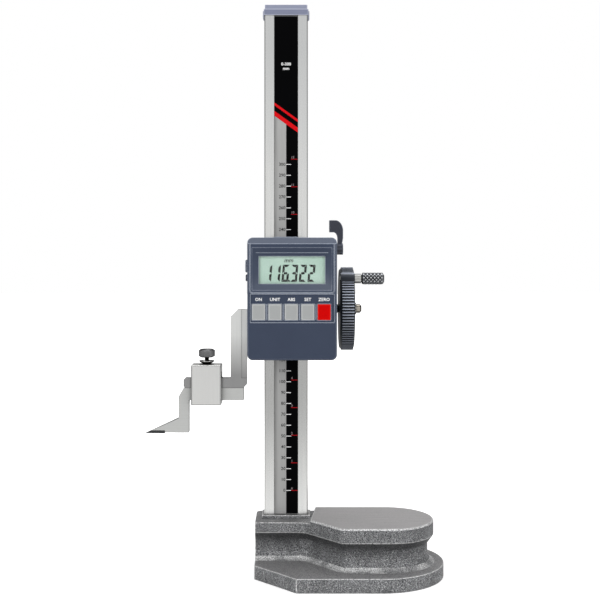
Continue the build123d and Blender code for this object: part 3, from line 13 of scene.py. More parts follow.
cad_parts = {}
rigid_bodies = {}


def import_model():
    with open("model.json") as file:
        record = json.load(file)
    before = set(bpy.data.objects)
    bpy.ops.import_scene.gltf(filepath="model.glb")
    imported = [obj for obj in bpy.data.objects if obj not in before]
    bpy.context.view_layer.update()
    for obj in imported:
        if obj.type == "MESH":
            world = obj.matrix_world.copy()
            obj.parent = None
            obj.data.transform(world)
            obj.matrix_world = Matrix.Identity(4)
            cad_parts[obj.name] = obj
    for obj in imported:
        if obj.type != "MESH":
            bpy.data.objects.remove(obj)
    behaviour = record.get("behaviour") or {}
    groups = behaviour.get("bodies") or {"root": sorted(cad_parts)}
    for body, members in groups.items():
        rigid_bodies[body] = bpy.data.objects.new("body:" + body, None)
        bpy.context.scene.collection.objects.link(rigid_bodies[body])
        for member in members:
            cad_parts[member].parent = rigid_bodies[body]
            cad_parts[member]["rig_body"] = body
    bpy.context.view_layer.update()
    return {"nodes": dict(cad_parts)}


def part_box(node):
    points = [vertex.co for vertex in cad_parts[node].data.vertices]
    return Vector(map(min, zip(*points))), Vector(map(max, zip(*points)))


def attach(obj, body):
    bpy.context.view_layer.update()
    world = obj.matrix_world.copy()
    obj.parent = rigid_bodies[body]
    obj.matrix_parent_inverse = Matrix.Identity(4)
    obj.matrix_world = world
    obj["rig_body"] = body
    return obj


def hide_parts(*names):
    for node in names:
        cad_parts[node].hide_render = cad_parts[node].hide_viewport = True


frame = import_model()

LOG = logging.getLogger("height_gauge")
MM = 0.001
# Thickness of print, in metres
INK = 0.03 * MM
# How much the strokes of print swell, as a share of a capital's height
STROKE_SWELL = 0.02
# Height of a capital, as a share of the font's size
CAPITAL = 0.69
# Share of a face that the rounding of one of its edges may take
ROOM_SHARE = 0.42
Socket = bpy.types.NodeSocket
Tree = bpy.types.NodeTree
Point = tuple[float, float]
Triple = tuple[float, float, float]
Look = dict[str, Any]
Sockets = dict[str, Socket]


class Grain(Enum):
    """The way that a ground surface runs, as the scale of its noise along X, Y and Z."""

    ALONG_X = (0.04, 1.0, 1.0)
    ALONG_Z = (1.0, 1.0, 0.04)
    NONE = (1.0, 1.0, 1.0)


class Side(Enum):
    """Where a line of print is anchored."""

    LEFT = "LEFT"
    CENTRE = "CENTER"
    RIGHT = "RIGHT"


# Small tools


def srgb(code: str) -> tuple[float, float, float, float]:
    """Turn an sRGB hex colour into a linear one.

    Args:
        code: Six hex digits after a hash.

    Returns:
        Red, green, blue and an alpha of 1.
    """
    parts = [int(code[i : i + 2], 16) / 255 for i in (1, 3, 5)]
    linear = [p / 12.92 if p <= 0.04045 else ((p + 0.055) / 1.055) ** 2.4 for p in parts]
    return (*linear, 1.0)


def per_mm(size: float) -> float:
    """Give the texture scale whose features are size millimetres wide."""
    return 1 / (size * MM)


def wire(tree: Tree, node: bpy.types.Node, inputs: dict[Any, Any]) -> None:
    """Set a node's inputs, by name or number, each to a value or to a socket's link."""
    for key, value in inputs.items():
        if isinstance(value, Socket):
            tree.links.new(value, node.inputs[key])
        else:
            node.inputs[key].default_value = value


def add_node(tree: Tree, kind: str, inputs: dict[Any, Any] | None = None, **settings: Any) -> bpy.types.Node:
    """Add a node with its settings, values and links.

    Args:
        tree: The node tree.
        kind: Blender's name for the node.
        inputs: A value or a socket to link, for each input by name or number.
        **settings: The node's own properties.

    Returns:
        The node.
    """
    node = tree.nodes.new(kind)
    for name, value in settings.items():
        setattr(node, name, value)
    wire(tree, node, inputs or {})
    return node


# Patterns that the finishes share


def noise(tree: Tree, place: Socket, size: float, detail: float, stretch: Grain = Grain.NONE) -> Socket:
    """Make a noise whose blobs are size millimetres wide.

    Args:
        tree: The material's tree.
        place: Object coordinates.
        size: Width of a blob in millimetres.
        detail: Octaves of finer noise.
        stretch: The way that the blobs are drawn out.

    Returns:
        The noise, from 0 to 1.
    """
    mapped = add_node(tree, "ShaderNodeMapping", {"Vector": place, "Scale": stretch.value})
    blobs = {"Vector": mapped.outputs[0], "Scale": per_mm(size), "Detail": detail}
    return add_node(tree, "ShaderNodeTexNoise", blobs).outputs["Fac"]


def blend_colours(tree: Tree, share: Socket, low: Socket | str, high: Socket | str) -> Socket:
    """Mix two colours, each a socket or a hex code, by a share."""
    low, high = (srgb(colour) if isinstance(colour, str) else colour for colour in (low, high))
    mix = add_node(tree, "ShaderNodeMix", {0: share, 6: low, 7: high}, data_type="RGBA")
    return mix.outputs[2]


def spread(
    tree: Tree, value: Socket, start: float, end: float, low: float = 0.0, high: float = 1.0
) -> Socket:
    """Map a value from one range to another, held at its ends."""
    made = add_node(
        tree,
        "ShaderNodeMapRange",
        {"Value": value, "From Min": start, "From Max": end, "To Min": low, "To Max": high},
    )
    return made.outputs[0]


def scaled(tree: Tree, value: Socket, factor: Socket | float) -> Socket:
    """Multiply two numbers."""
    return add_node(tree, "ShaderNodeMath", {0: value, 1: factor}, operation="MULTIPLY").outputs[0]


def larger(tree: Tree, first: Socket, second: Socket | float) -> Socket:
    """Give the larger of two numbers."""
    return add_node(tree, "ShaderNodeMath", {0: first, 1: second}, operation="MAXIMUM").outputs[0]


def alignment(tree: Tree, first: Socket, second: Any) -> Socket:
    """Give the cosine between two directions."""
    made = add_node(tree, "ShaderNodeVectorMath", {0: first, 1: second}, operation="DOT_PRODUCT")
    return made.outputs["Value"]


def painted(tree: Tree, name: str) -> Socket:
    """Read a number that the mesh carries, such as how worn an edge is."""
    return add_node(tree, "ShaderNodeAttribute", attribute_name=name).outputs["Fac"]


def crevice(tree: Tree, reach: float, start: float = 0.95, end: float = 0.45) -> Socket:
    """Tell where a surface sinks into a corner or gap, from 0 in the open to 1.

    Args:
        tree: The material's tree.
        reach: How far away a wall still shades it, in millimetres.
        start: Openness at which the shade begins.
        end: Openness at which it is full.

    Returns:
        The share of shade.
    """
    made = add_node(tree, "ShaderNodeAmbientOcclusion", {"Distance": reach * MM}, samples=8)
    return spread(tree, made.outputs["AO"], start, end)


def turned_away(tree: Tree, start: float, end: float) -> Socket:
    """Tell how far a surface turns away from the eye, from 0 at start to 1 at end."""
    return spread(tree, add_node(tree, "ShaderNodeLayerWeight", {"Blend": 0.5}).outputs["Facing"], start, end)


def rounded_edge(tree: Tree, radius: float, start: float = 0.99, end: float = 0.88) -> Socket:
    """Tell where a surface is close to an edge, from 0 on a flat to 1 on the edge itself.

    Args:
        tree: The material's tree.
        radius: How far the edge's mark reaches, in millimetres.
        start: Cosine between the face and its rounding where the mark begins.
        end: Cosine where it is full.

    Returns:
        The share of the edge mark, on which the finishes lay wear and painted light.
    """
    soft = add_node(tree, "ShaderNodeBevel", {"Radius": radius * MM}, samples=8).outputs["Normal"]
    flat = add_node(tree, "ShaderNodeNewGeometry").outputs["Normal"]
    return larger(tree, painted(tree, "edge"), spread(tree, alignment(tree, soft, flat), start, end))


def facing_share(tree: Tree, way: Triple, start: float, end: float) -> Socket:
    """Give 0 where a face looks away from a direction and 1 where it looks along it.

    Args:
        tree: The material's tree.
        way: The direction.
        start: Cosine at which the share begins.
        end: Cosine at which it is full.

    Returns:
        The share.
    """
    normal = add_node(tree, "ShaderNodeNewGeometry").outputs["Normal"]
    return spread(tree, alignment(tree, normal, way), start, end)


def height_share(tree: Tree, place: Socket, low: float, high: float) -> Socket:
    """Give 0 below one height and 1 above another, in millimetres."""
    level = add_node(tree, "ShaderNodeSeparateXYZ", {0: place}).outputs["Z"]
    return spread(tree, level, low * MM, high * MM)


def bump(tree: Tree, height: Socket, depth: float, strength: float) -> Socket:
    """Turn a height into a normal, with its depth in millimetres."""
    relief = {"Height": height, "Distance": depth * MM, "Strength": strength}
    return add_node(tree, "ShaderNodeBump", relief).outputs[0]


@dataclass(frozen=True)
class Finish:
    """A material, made once and shared by the pieces that have it."""

    name: str
    slot: str

    def shade(self, tree: Tree, place: Socket) -> Look:
        """Build the material's pattern and give the inputs of its surface shader."""
        raise NotImplementedError

    def material(self) -> bpy.types.Material:
        """Give the material, made the first time it is asked for."""
        known = bpy.data.materials.get(self.name)
        if known is not None:
            return known
        made = bpy.data.materials.new(self.name)
        made.use_nodes = True
        surface = made.node_tree.nodes["Principled BSDF"]
        place = add_node(made.node_tree, "ShaderNodeTexCoord").outputs["Object"]
        wire(made.node_tree, surface, self.shade(made.node_tree, place))
        return made


@dataclass(frozen=True)
class CastIron(Finish):
    """Grey iron as it leaves the sand: a glittering grain, with painted highlights and painted shade.

    Its edges take rubbed wear and a painted highlight, and its undersides and corners painted shade. The
    mesh's machined number says where a face was milled, its edge number where an edge is rubbed and
    painted bright, and its glint number where a painted glint lies in the fillet over the flange.
    """

    dark: str = "#37383a"
    mean: str = "#7c7d7f"
    bright: str = "#cfd0d1"
    milled: str = "#a3a1a2"
    cut: str = "#b1afaf"
    # Colour of the rubbed wear and painted highlight on the edges, and of the painted glints
    rubbed: str = "#ededed"
    # Colour of the painted shade
    deep: str = "#2a2b2c"
    grain: float = 1.0
    mottle: float = 16.0

    def shade(self, tree: Tree, place: Socket) -> Look:
        """Build grain, mottle, milled faces, rubbed and painted bright edges, painted glints and shade."""
        grain = noise(tree, place, size=self.grain, detail=4.0)
        fine = noise(tree, place, size=self.grain / 1.7, detail=2.0)
        mottle = noise(tree, place, size=self.mottle, detail=3.0)
        machined = painted(tree, "machined")
        pitted = blend_colours(tree, spread(tree, grain, 0.38, 0.56), self.dark, self.mean)
        glitter = spread(tree, fine, 0.56, 0.64)
        cast = blend_colours(tree, glitter, pitted, self.bright)
        shade = blend_colours(tree, spread(tree, mottle, 0.4, 0.75, 0.0, 0.4), cast, self.dark)
        cutter = noise(tree, place, size=1.4, detail=3.0, stretch=Grain.ALONG_X)
        flat = blend_colours(tree, spread(tree, cutter, 0.3, 0.7), self.milled, self.cut)
        scuffed = blend_colours(tree, spread(tree, grain, 0.5, 0.3, 0.0, 0.3), flat, self.mean)
        body = blend_colours(tree, machined, shade, scuffed)
        # Rubbed wear and painted highlight along the edges, broken up by the grain
        worn = scaled(tree, rounded_edge(tree, radius=0.9), spread(tree, grain, 0.4, 0.6, 0.2, 0.9))
        patch = noise(tree, place, size=18.0, detail=2.0)
        # Painted glints in the fillet over the flange, strongest in patches
        glint = scaled(tree, painted(tree, "glint"), spread(tree, fine, 0.42, 0.54))
        strong = scaled(tree, glint, spread(tree, patch, 0.46, 0.56, 0.35, 1.0))
        rubbed = blend_colours(tree, larger(tree, worn, strong), body, self.rubbed)
        # Painted shade on downward faces and, faintly, in corners
        under = scaled(tree, facing_share(tree, (0.0, 0.0, -1.0), 0.05, 0.45), 0.75)
        shade = larger(tree, under, scaled(tree, crevice(tree, reach=7.0), 0.15))
        shaded = blend_colours(tree, shade, rubbed, self.deep)
        rough = spread(tree, glitter, 0.0, 1.0, 0.6, 0.36)
        rise = scaled(tree, grain, spread(tree, machined, 0.0, 1.0, 1.0, 0.1))
        relief = bump(tree, rise, depth=0.7, strength=0.9)
        return {"Base Color": shaded, "Metallic": 0.5, "Roughness": rough, "Normal": relief}


@dataclass(frozen=True)
class GroundSteel(Finish):
    """Steel finished on a grinder: fine streaks one way, soft reflections and painted shade in its corners.

    Between its two shade heights it blends from a painted shade tone, at the first, to its own tone, at
    the second, and its edges take painted light, toned as the light leaves them.
    """

    colour: str
    dull: str
    grain: Grain
    streak: float
    roughness: float
    # Colour of the painted light on the edges
    rim: str
    depth: float = 0.002
    # Heights between which the painted shade tone blends into the steel's own
    worn_heights: Point = (-1.0, 0.0)
    # Colour of the painted shade laid by height
    worn: str = "#8b8b8b"
    # Colour of the painted shade in corners
    deep: str = "#3b3b3c"
    reach: float = 10.0
    rim_share: float = 0.7

    def shade(self, tree: Tree, place: Socket) -> Look:
        """Build the streaks that show in colour, roughness and relief."""
        streak = noise(tree, place, size=self.streak, detail=3.0, stretch=self.grain)
        cloud = noise(tree, place, size=22.0, detail=2.0)
        bright = spread(tree, streak, 0.3, 0.7, 0.45, 1.0)
        tone = blend_colours(tree, bright, self.dull, self.colour)
        soft = blend_colours(tree, spread(tree, cloud, 0.4, 0.75, 0.0, 0.2), tone, self.dull)
        # Painted shade by height
        height_shaded = blend_colours(tree, height_share(tree, place, *self.worn_heights), self.worn, soft)
        # Painted light on the edges
        lee = scaled(tree, rounded_edge(tree, radius=0.7), self.rim_share)
        edged = blend_colours(tree, lee, height_shaded, self.rim)
        # Painted shade in corners and gaps
        shaded = blend_colours(tree, scaled(tree, crevice(tree, reach=self.reach), 0.7), edged, self.deep)
        rough = spread(tree, streak, 0.25, 0.75, self.roughness + 0.03, self.roughness - 0.03)
        relief = bump(tree, streak, depth=self.depth, strength=0.5)
        return {"Base Color": shaded, "Metallic": 1.0, "Roughness": rough, "Normal": relief}


@dataclass(frozen=True)
class MouldedPlastic(Finish):
    """ABS or nylon from a spark-eroded mould: a fine grain, with painted highlights and painted shade.

    Its edges and upward faces, and its sideways faces a little, take a painted highlight, and its
    undersides and corners painted shade. The mesh's highlight number, where it has one, says where more
    painted highlight is laid.
    """

    colour: str
    pale: str
    # Colour of the painted highlight on edges and upward faces
    rim: str
    grain: float
    roughness: float
    shine: float = 0.25
    depth: float = 0.012
    # Colour of the painted shade
    deep: str = "#12151c"
    # Strength of the painted light and shade by which way a face looks
    slope: float = 0.3
    # How far the painted highlight reaches in from an edge, in millimetres, and where it begins and is full
    wear: float = 0.8
    wear_range: Point = (0.9988, 0.989)
    edge_share: float = 0.85

    def shade(self, tree: Tree, place: Socket) -> Look:
        """Build the mould's grain, a slow change of tone, and its painted highlights and painted shade."""
        grain = noise(tree, place, size=self.grain, detail=2.0)
        cloud = noise(tree, place, size=30.0, detail=2.0)
        paler = spread(tree, cloud, 0.3, 0.8, 0.0, 0.22)
        base = blend_colours(tree, paler, self.colour, self.pale)
        fleck = blend_colours(tree, spread(tree, grain, 0.55, 0.8, 0.0, 0.12), base, self.pale)
        # Painted highlight along the edges and where the mesh's highlight number asks
        rim = scaled(tree, rounded_edge(tree, self.wear, *self.wear_range), self.edge_share)
        edge = larger(tree, painted(tree, "painted_highlight"), rim)
        # Painted light from above: upward faces paler, sideways faces a little
        upward = facing_share(tree, (0.0, 0.0, 1.0), 0.12, 0.8)
        rightward = facing_share(tree, (1.0, 0.0, 0.0), 0.1, 0.4)
        sideways = larger(tree, rightward, facing_share(tree, (-1.0, 0.0, 0.0), 0.1, 0.4))
        slanted = larger(tree, upward, scaled(tree, sideways, 0.35))
        lit = blend_colours(tree, scaled(tree, slanted, self.slope), fleck, self.rim)
        # Painted shade on downward faces and in corners
        under = scaled(tree, facing_share(tree, (0.0, 0.0, -1.0), 0.12, 0.8), self.slope)
        shade = larger(tree, under, scaled(tree, crevice(tree, reach=2.4, start=0.9, end=0.5), 0.8))
        shaded = blend_colours(tree, shade, lit, self.deep)
        edged = blend_colours(tree, edge, shaded, self.rim)
        rough = spread(tree, grain, 0.3, 0.7, self.roughness - 0.04, self.roughness + 0.05)
        relief = bump(tree, grain, depth=self.depth, strength=0.45)
        return {"Base Color": edged, "Specular IOR Level": self.shine, "Roughness": rough, "Normal": relief}


@dataclass(frozen=True)
class TurnedMetal(Finish):
    """Turned, plated or blackened metal: a smooth skin, tool rings, painted highlights, painted dark-room
    reflections.
    """

    colour: str
    shadow: str
    ring: float
    roughness: float
    depth: float = 0.012
    # Colour of the painted dark reflection on the sides
    dim: str = "#2a2b2d"
    # Colour of the painted highlight
    bright: str = "#e6e7e8"
    # Strength of the painted shade in gaps
    gap_share: float = 0.9

    def shade(self, tree: Tree, place: Socket) -> Look:
        """Build fine rings, a slow tarnish, painted highlights, painted dark sides and painted shade in gaps.
        """
        ring = noise(tree, place, size=self.ring, detail=2.0)
        cloud = noise(tree, place, size=6.0, detail=3.0)
        tarnish = spread(tree, cloud, 0.35, 0.7, 0.0, 0.5)
        tone = blend_colours(tree, tarnish, self.colour, self.shadow)
        # Painted highlight where the mesh's highlight number asks
        rim = blend_colours(tree, painted(tree, "painted_highlight"), tone, self.bright)
        # Painted reflection of a dark room on the sides that turn away
        side = blend_colours(tree, scaled(tree, turned_away(tree, 0.03, 0.45), 0.9), rim, self.dim)
        # Painted shade in gaps
        shaded = blend_colours(tree, scaled(tree, crevice(tree, reach=3.0), self.gap_share), side, "#101011")
        rough = spread(tree, cloud, 0.3, 0.7, self.roughness - 0.04, self.roughness + 0.08)
        relief = bump(tree, ring, depth=self.depth, strength=0.5)
        return {"Base Color": shaded, "Metallic": 1.0, "Roughness": rough, "Normal": relief}


@dataclass(frozen=True)
class Print(Finish):
    """Screen-printed ink or film: even colour with slightly uneven cover."""

    colour: str
    thin: str
    roughness: float = 0.5

    def shade(self, tree: Tree, place: Socket) -> Look:
        """Build the uneven cover."""
        cover = noise(tree, place, size=0.8, detail=2.0)
        worn_off = spread(tree, cover, 0.55, 0.85, 0.0, 0.4)
        ink = blend_colours(tree, worn_off, self.colour, self.thin)
        rough = spread(tree, cover, 0.3, 0.7, self.roughness - 0.05, self.roughness + 0.05)
        return {"Base Color": ink, "Roughness": rough, "Specular IOR Level": 0.02}


@dataclass(frozen=True)
class ScaleSteel(Finish):
    """Satin scale strip, darker towards its left edge where the groove shades it."""

    left: str = "#7a7a79"
    right: str = "#a3a3a2"
    start: float = -10.8
    end: float = -7.5

    def shade(self, tree: Tree, place: Socket) -> Look:
        """Build the change of tone across the strip and the rolling streaks."""
        across = add_node(tree, "ShaderNodeSeparateXYZ", {0: place}).outputs["X"]
        share = spread(tree, across, self.start * MM, self.end * MM)
        streak = noise(tree, place, size=0.9, detail=3.0, stretch=Grain.ALONG_Z)
        tone = blend_colours(tree, share, self.left, self.right)
        fine = blend_colours(tree, spread(tree, streak, 0.35, 0.7, 0.0, 0.3), tone, "#b4b4b3")
        rough = spread(tree, streak, 0.3, 0.7, 0.42, 0.5)
        relief = bump(tree, streak, depth=0.01, strength=0.4)
        return {"Base Color": fine, "Metallic": 0.8, "Roughness": rough, "Normal": relief}


@dataclass(frozen=True)
class LiquidCrystal(Finish):
    """Reflective liquid-crystal panel: pale green-grey with a slow, uneven change of tone."""

    colour: str = "#b9d3c6"
    deep: str = "#a3c2b3"

    def shade(self, tree: Tree, place: Socket) -> Look:
        """Build the faint cell texture and the slow shade."""
        cell = noise(tree, place, size=0.35, detail=1.0)
        cloud = noise(tree, place, size=25.0, detail=2.0)
        deeper = spread(tree, cloud, 0.3, 0.7, 0.0, 0.6)
        tone = blend_colours(tree, deeper, self.colour, self.deep)
        face = blend_colours(tree, spread(tree, cell, 0.4, 0.8, 0.0, 0.2), tone, "#c8ded3")
        rough = spread(tree, cell, 0.2, 0.8, 0.3, 0.4)
        return {"Base Color": face, "Roughness": rough, "Specular IOR Level": 0.1}


@dataclass(frozen=True)
class ClearAcrylic(Finish):
    """Clear moulded acrylic: a thin pane that shows the panel behind and catches the lamps."""

    def shade(self, tree: Tree, place: Socket) -> Look:
        """Build the polish; the pane is thin, so it is alpha and not refraction."""
        haze = noise(tree, place, size=12.0, detail=2.0)
        rough = spread(tree, haze, 0.3, 0.7, 0.03, 0.08)
        return {"Roughness": rough, "Base Color": srgb("#eef4f0"), "Alpha": 0.03, "IOR": 1.49}


CAST = CastIron("grey_iron_sand_cast", "grey_casting")
COLUMN = GroundSteel(
    "stainless_steel_ground_lengthwise",
    "column_steel",
    colour="#e2e2e0",
    dull="#dadbda",
    grain=Grain.ALONG_Z,
    streak=2.0,
    roughness=0.2,
    rim="#6a6c6c",
    # Painted shade: darker above 480 mm, blending to the steel's own tone by 330 mm
    worn_heights=(480.0, 330.0),
    worn="#c4c5c5",
    reach=5.0,
    rim_share=1.0,
)
STRIP = ScaleSteel("scale_steel_satin", "scale_steel")
FILM = Print("scale_film_black_printed", "scale_black", colour="#030304", thin="#060607", roughness=0.55)
WHITE_INK = Print("white_ink_screen_printed", "scale_black", colour="#ffffff", thin="#e6e6e4")
GREY_INK = Print("grey_ink_screen_printed", "scale_black", colour="#8f8486", thin="#756c6e")
RED_INK = Print("red_ink_screen_printed", "scale_black", colour="#d4141b", thin="#b01218")
DARK_RED_INK = Print("red_ink_screen_printed_thin", "scale_black", colour="#a8151b", thin="#86101a")
BLACK_INK = Print("black_ink_screen_printed", "scale_black", colour="#0a0a0b", thin="#1a1b1d")
CAP = MouldedPlastic(
    "abs_moulded_blue_grey",
    "cap_plastic",
    colour="#7a7f95",
    pale="#8b90a6",
    rim="#b6bacb",
    grain=0.6,
    roughness=0.42,
)
CASE = MouldedPlastic(
    "abs_moulded_slate_blue",
    "case_plastic",
    colour="#343d50",
    pale="#424c60",
    rim="#b0b8c7",
    grain=0.45,
    roughness=0.43,
)
KEY_GREY = MouldedPlastic(
    "abs_moulded_light_grey",
    "key_grey",
    colour="#a3a5a5",
    pale="#acaeae",
    rim="#c6c8c8",
    grain=0.4,
    roughness=0.6,
    shine=0.1,
)
KEY_RED = MouldedPlastic(
    "abs_moulded_red",
    "key_red",
    colour="#cb0000",
    pale="#d30503",
    rim="#e8241c",
    grain=0.4,
    roughness=0.6,
    shine=0.05,
)
WHEEL = MouldedPlastic(
    "nylon_moulded_black",
    "wheel_plastic",
    colour="#11141b",
    pale="#1a1e26",
    rim="#bcc3d2",
    grain=0.5,
    roughness=0.4,
    shine=0.12,
    deep="#050506",
    slope=0.12,
    edge_share=0.0,
)
LEVER = MouldedPlastic(
    "zinc_die_cast_painted_dark",
    "grey_alloy",
    colour="#252936",
    pale="#383d4c",
    rim="#5c6170",
    grain=0.6,
    roughness=0.3,
    shine=0.5,
)
RUBBER = MouldedPlastic(
    "silicone_rubber_moulded_grey",
    "grey_rubber",
    colour="#343843",
    pale="#434855",
    rim="#6b7180",
    grain=0.7,
    roughness=0.7,
)
FRAME_STEEL = GroundSteel(
    "tool_steel_ground_upright",
    "tool_steel",
    colour="#f2f3f1",
    dull="#e4e5e3",
    grain=Grain.ALONG_Z,
    streak=2.2,
    roughness=0.34,
    rim="#8d8d8c",
    # Painted shade: darker below 178 mm, blending to the steel's own tone by 215 mm
    worn_heights=(178.0, 215.0),
    worn="#a3a3a3",
    reach=3.0,
    rim_share=0.5,
)
BOX_STEEL = GroundSteel(
    "tool_steel_ground_bright",
    "tool_steel",
    colour="#ececea",
    dull="#dededc",
    grain=Grain.ALONG_Z,
    streak=2.2,
    roughness=0.34,
    rim="#6f6f6f",
    reach=3.0,
)
BAR_STEEL = GroundSteel(
    "tool_steel_ground_sideways",
    "tool_steel",
    colour="#d6d7d5",
    dull="#c8c9c7",
    grain=Grain.ALONG_X,
    streak=2.2,
    roughness=0.34,
    rim="#6f6f6f",
)
OXIDE = TurnedMetal(
    "screw_steel_black_oxide", "dark_steel", colour="#2b2c2e", shadow="#1c1d1f", ring=0.4, roughness=0.35
)
PLATED = TurnedMetal(
    "steel_nickel_plated", "cell_steel", colour="#cfcfcc", shadow="#8f8f8c", ring=0.4, roughness=0.16
)
KNURLED = TurnedMetal(
    "steel_knurled_bright",
    "knurled_steel",
    colour="#919397",
    shadow="#6c6e71",
    ring=0.3,
    roughness=0.3,
    dim="#4a4c4f",
    bright="#c4c6c8",
    gap_share=0.4,
)
KNOB = TurnedMetal(
    "steel_knurled_blackened", "knurled_steel", colour="#a5a5a6", shadow="#5a5a5b", ring=0.3, roughness=0.3
)
NUT = TurnedMetal(
    "steel_turned_yellow_passivated",
    "cell_steel",
    colour="#cdc6bb",
    shadow="#8b8378",
    ring=0.4,
    roughness=0.2,
    dim="#2a2622",
)
BRONZE = TurnedMetal("bronze_turned", "bronze", colour="#b08a52", shadow="#8a6736", ring=0.4, roughness=0.3)
CARBIDE = GroundSteel(
    "tungsten_carbide_ground",
    "carbide",
    colour="#4b4c4d",
    dull="#3a3b3c",
    grain=Grain.ALONG_X,
    streak=0.5,
    roughness=0.3,
    rim="#6b6c6d",
)
LCD = LiquidCrystal("liquid_crystal_panel", "lcd_glass")
SEGMENT = Print("liquid_crystal_segment_dark", "lcd_glass", colour="#010302", thin="#040806", roughness=0.6)
WINDOW = ClearAcrylic("acrylic_moulded_clear", "clear_window")
BOARD = MouldedPlastic(
    "glass_epoxy_board_green",
    "board_green",
    colour="#1f6b35",
    pale="#3f8a52",
    rim="#4f9a62",
    grain=0.8,
    roughness=0.35,
)


# Mesh tools


def add_object(name: str, data: bpy.types.ID) -> bpy.types.Object:
    """Put an object in the scene."""
    made = bpy.data.objects.new(name, data)
    bpy.context.scene.collection.objects.link(made)
    return made


def merged_copy(node: str) -> bmesh.types.BMesh:
    """Copy a CAD node's triangles, weld them and drop the lines inside flat faces.

    Args:
        node: The node's name.

    Returns:
        A closed mesh to work on.
    """
    work = bmesh.new()
    work.from_mesh(frame["nodes"][node].data)
    bmesh.ops.remove_doubles(work, verts=work.verts, dist=0.002 * MM)
    bmesh.ops.dissolve_limit(
        work, angle_limit=math.radians(0.6), verts=work.verts, edges=work.edges, use_dissolve_boundaries=False
    )
    return work


def weigh_edges(work: bmesh.types.BMesh, width: float, angle: float) -> None:
    """Give each outward edge the share of the rounding that its faces have room for.

    Args:
        work: The mesh to mark.
        width: Full width of the rounding in millimetres.
        angle: Smallest turn in degrees that counts as an edge.
    """
    work.normal_update()
    layer = work.edges.layers.float.new("bevel_weight_edge")
    for edge in work.edges:
        if len(edge.link_faces) != 2 or edge.calc_face_angle_signed(0.0) < math.radians(angle):
            continue
        room = min(2 * face.calc_area() / edge.calc_length() for face in edge.link_faces)
        edge[layer] = min(1.0, ROOM_SHARE * room / (width * MM))


def number_layer(mesh: bpy.types.Mesh, name: str, value_of: Callable[[bpy.types.MeshPolygon], float]) -> None:
    """Write one number for each face, as the finishes read it.

    Args:
        mesh: The mesh to write on.
        name: The layer's name.
        value_of: Gives the number for a face.
    """
    layer = mesh.attributes.new(name, "FLOAT", "FACE")
    layer.data.foreach_set("value", [value_of(face) for face in mesh.polygons])


def soft_edged(
    work: bmesh.types.BMesh, name: str, width: float, segments: int = 2, angle: float = 28.0
) -> bpy.types.Mesh:
    """Round a mesh's sharp edges, mark them as edge and shade it smooth.

    Args:
        work: The mesh to round; it is freed.
        name: The new mesh's name.
        width: Width of the rounding in millimetres.
        segments: Faces across the rounding.
        angle: Smallest turn in degrees that counts as an edge.

    Returns:
        The finished mesh.
    """
    raw = bpy.data.meshes.new(name + "_raw")
    weigh_edges(work, width, angle)
    for face in work.faces:
        face.smooth = True
    work.to_mesh(raw)
    work.free()
    carrier = add_object(name + "_raw", raw)
    for _ in range(2):
        raw.materials.append(None)
    rounding = carrier.modifiers.new("rounding", "BEVEL")
    rounding.width = width * MM
    rounding.segments = segments
    rounding.limit_method = "WEIGHT"
    rounding.loop_slide = False
    rounding.material = 1
    rounding.miter_outer = "MITER_ARC"
    leaning = carrier.modifiers.new("leaning", "WEIGHTED_NORMAL")
    leaning.weight = 100
    leaning.keep_sharp = True
    ready = carrier.evaluated_get(bpy.context.evaluated_depsgraph_get())
    made = bpy.data.meshes.new_from_object(ready)
    made.name = name
    number_layer(made, "edge", lambda face: float(face.material_index == 1))
    for face in made.polygons:
        face.material_index = 0
    made.materials.clear()
    bpy.data.objects.remove(carrier)
    bpy.data.meshes.remove(raw)
    return made


def piece(
    name: str, mesh: bpy.types.Mesh, body: str, finish: Finish, stands_for: Sequence[str] = ()
) -> None:
    """Add a finished mesh to the gauge.

    Args:
        name: The piece's name.
        mesh: Its mesh, already in place.
        body: The body that it rides on.
        finish: Its material.
        stands_for: CAD nodes that it is shown instead of.
    """
    made = add_object(name, mesh)
    if not mesh.materials:
        mesh.materials.append(finish.material())
    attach(made, body)
    if stands_for:
        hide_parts(*stands_for)
    LOG.info("%s: %d faces on %s", name, len(mesh.polygons), body)


def body_of(node: str) -> str:
    """Give the body that carries a CAD node."""
    return frame["nodes"][node]["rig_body"]


def softened(node: str, finish: Finish, width: float, segments: int = 2, angle: float = 28.0) -> None:
    """Show a CAD node as a copy with rounded edges.

    Args:
        node: The node's name.
        finish: Its material.
        width: Width of the rounding in millimetres.
        segments: Faces across the rounding.
        angle: Smallest turn in degrees that counts as an edge.
    """
    name = node + "_finished"
    mesh = soft_edged(merged_copy(node), name, width, segments, angle)
    piece(name, mesh, body_of(node), finish, (node,))


def dress(node: str, finish: Finish) -> None:
    """Give a CAD node that shows as it is its material."""
    cad = frame["nodes"][node]
    cad.data.materials.clear()
    cad.data.materials.append(finish.material())
    LOG.info("%s: CAD mesh in %s", node, finish.name)


def off_axis(face: bpy.types.MeshPolygon, centre: Vector) -> float:
    """Give a face's distance from an axis along X."""
    return math.hypot(face.center.y - centre.y, face.center.z - centre.z)


def front_of(node: str) -> float:
    """Give the place along Y of a node's front."""
    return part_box(node)[0].y


def front_slab(outline: Sequence[Point], front_y: float) -> bmesh.types.BMesh:
    """Make a thin closed slab of print that faces the user.

    Args:
        outline: Its corners as X and Z in metres, anticlockwise as the user sees it.
        front_y: Where its front face lies.

    Returns:
        The slab.
    """
    work = bmesh.new()
    front = [work.verts.new((x, front_y, z)) for x, z in outline]
    back = [work.verts.new((x, front_y + INK, z)) for x, z in outline]
    work.faces.new(front)
    work.faces.new(back[::-1])
    for i, start in enumerate(front):
        after = (i + 1) % len(front)
        work.faces.new((start, back[i], back[after], front[after]))
    bmesh.ops.recalc_face_normals(work, faces=work.faces)
    return work


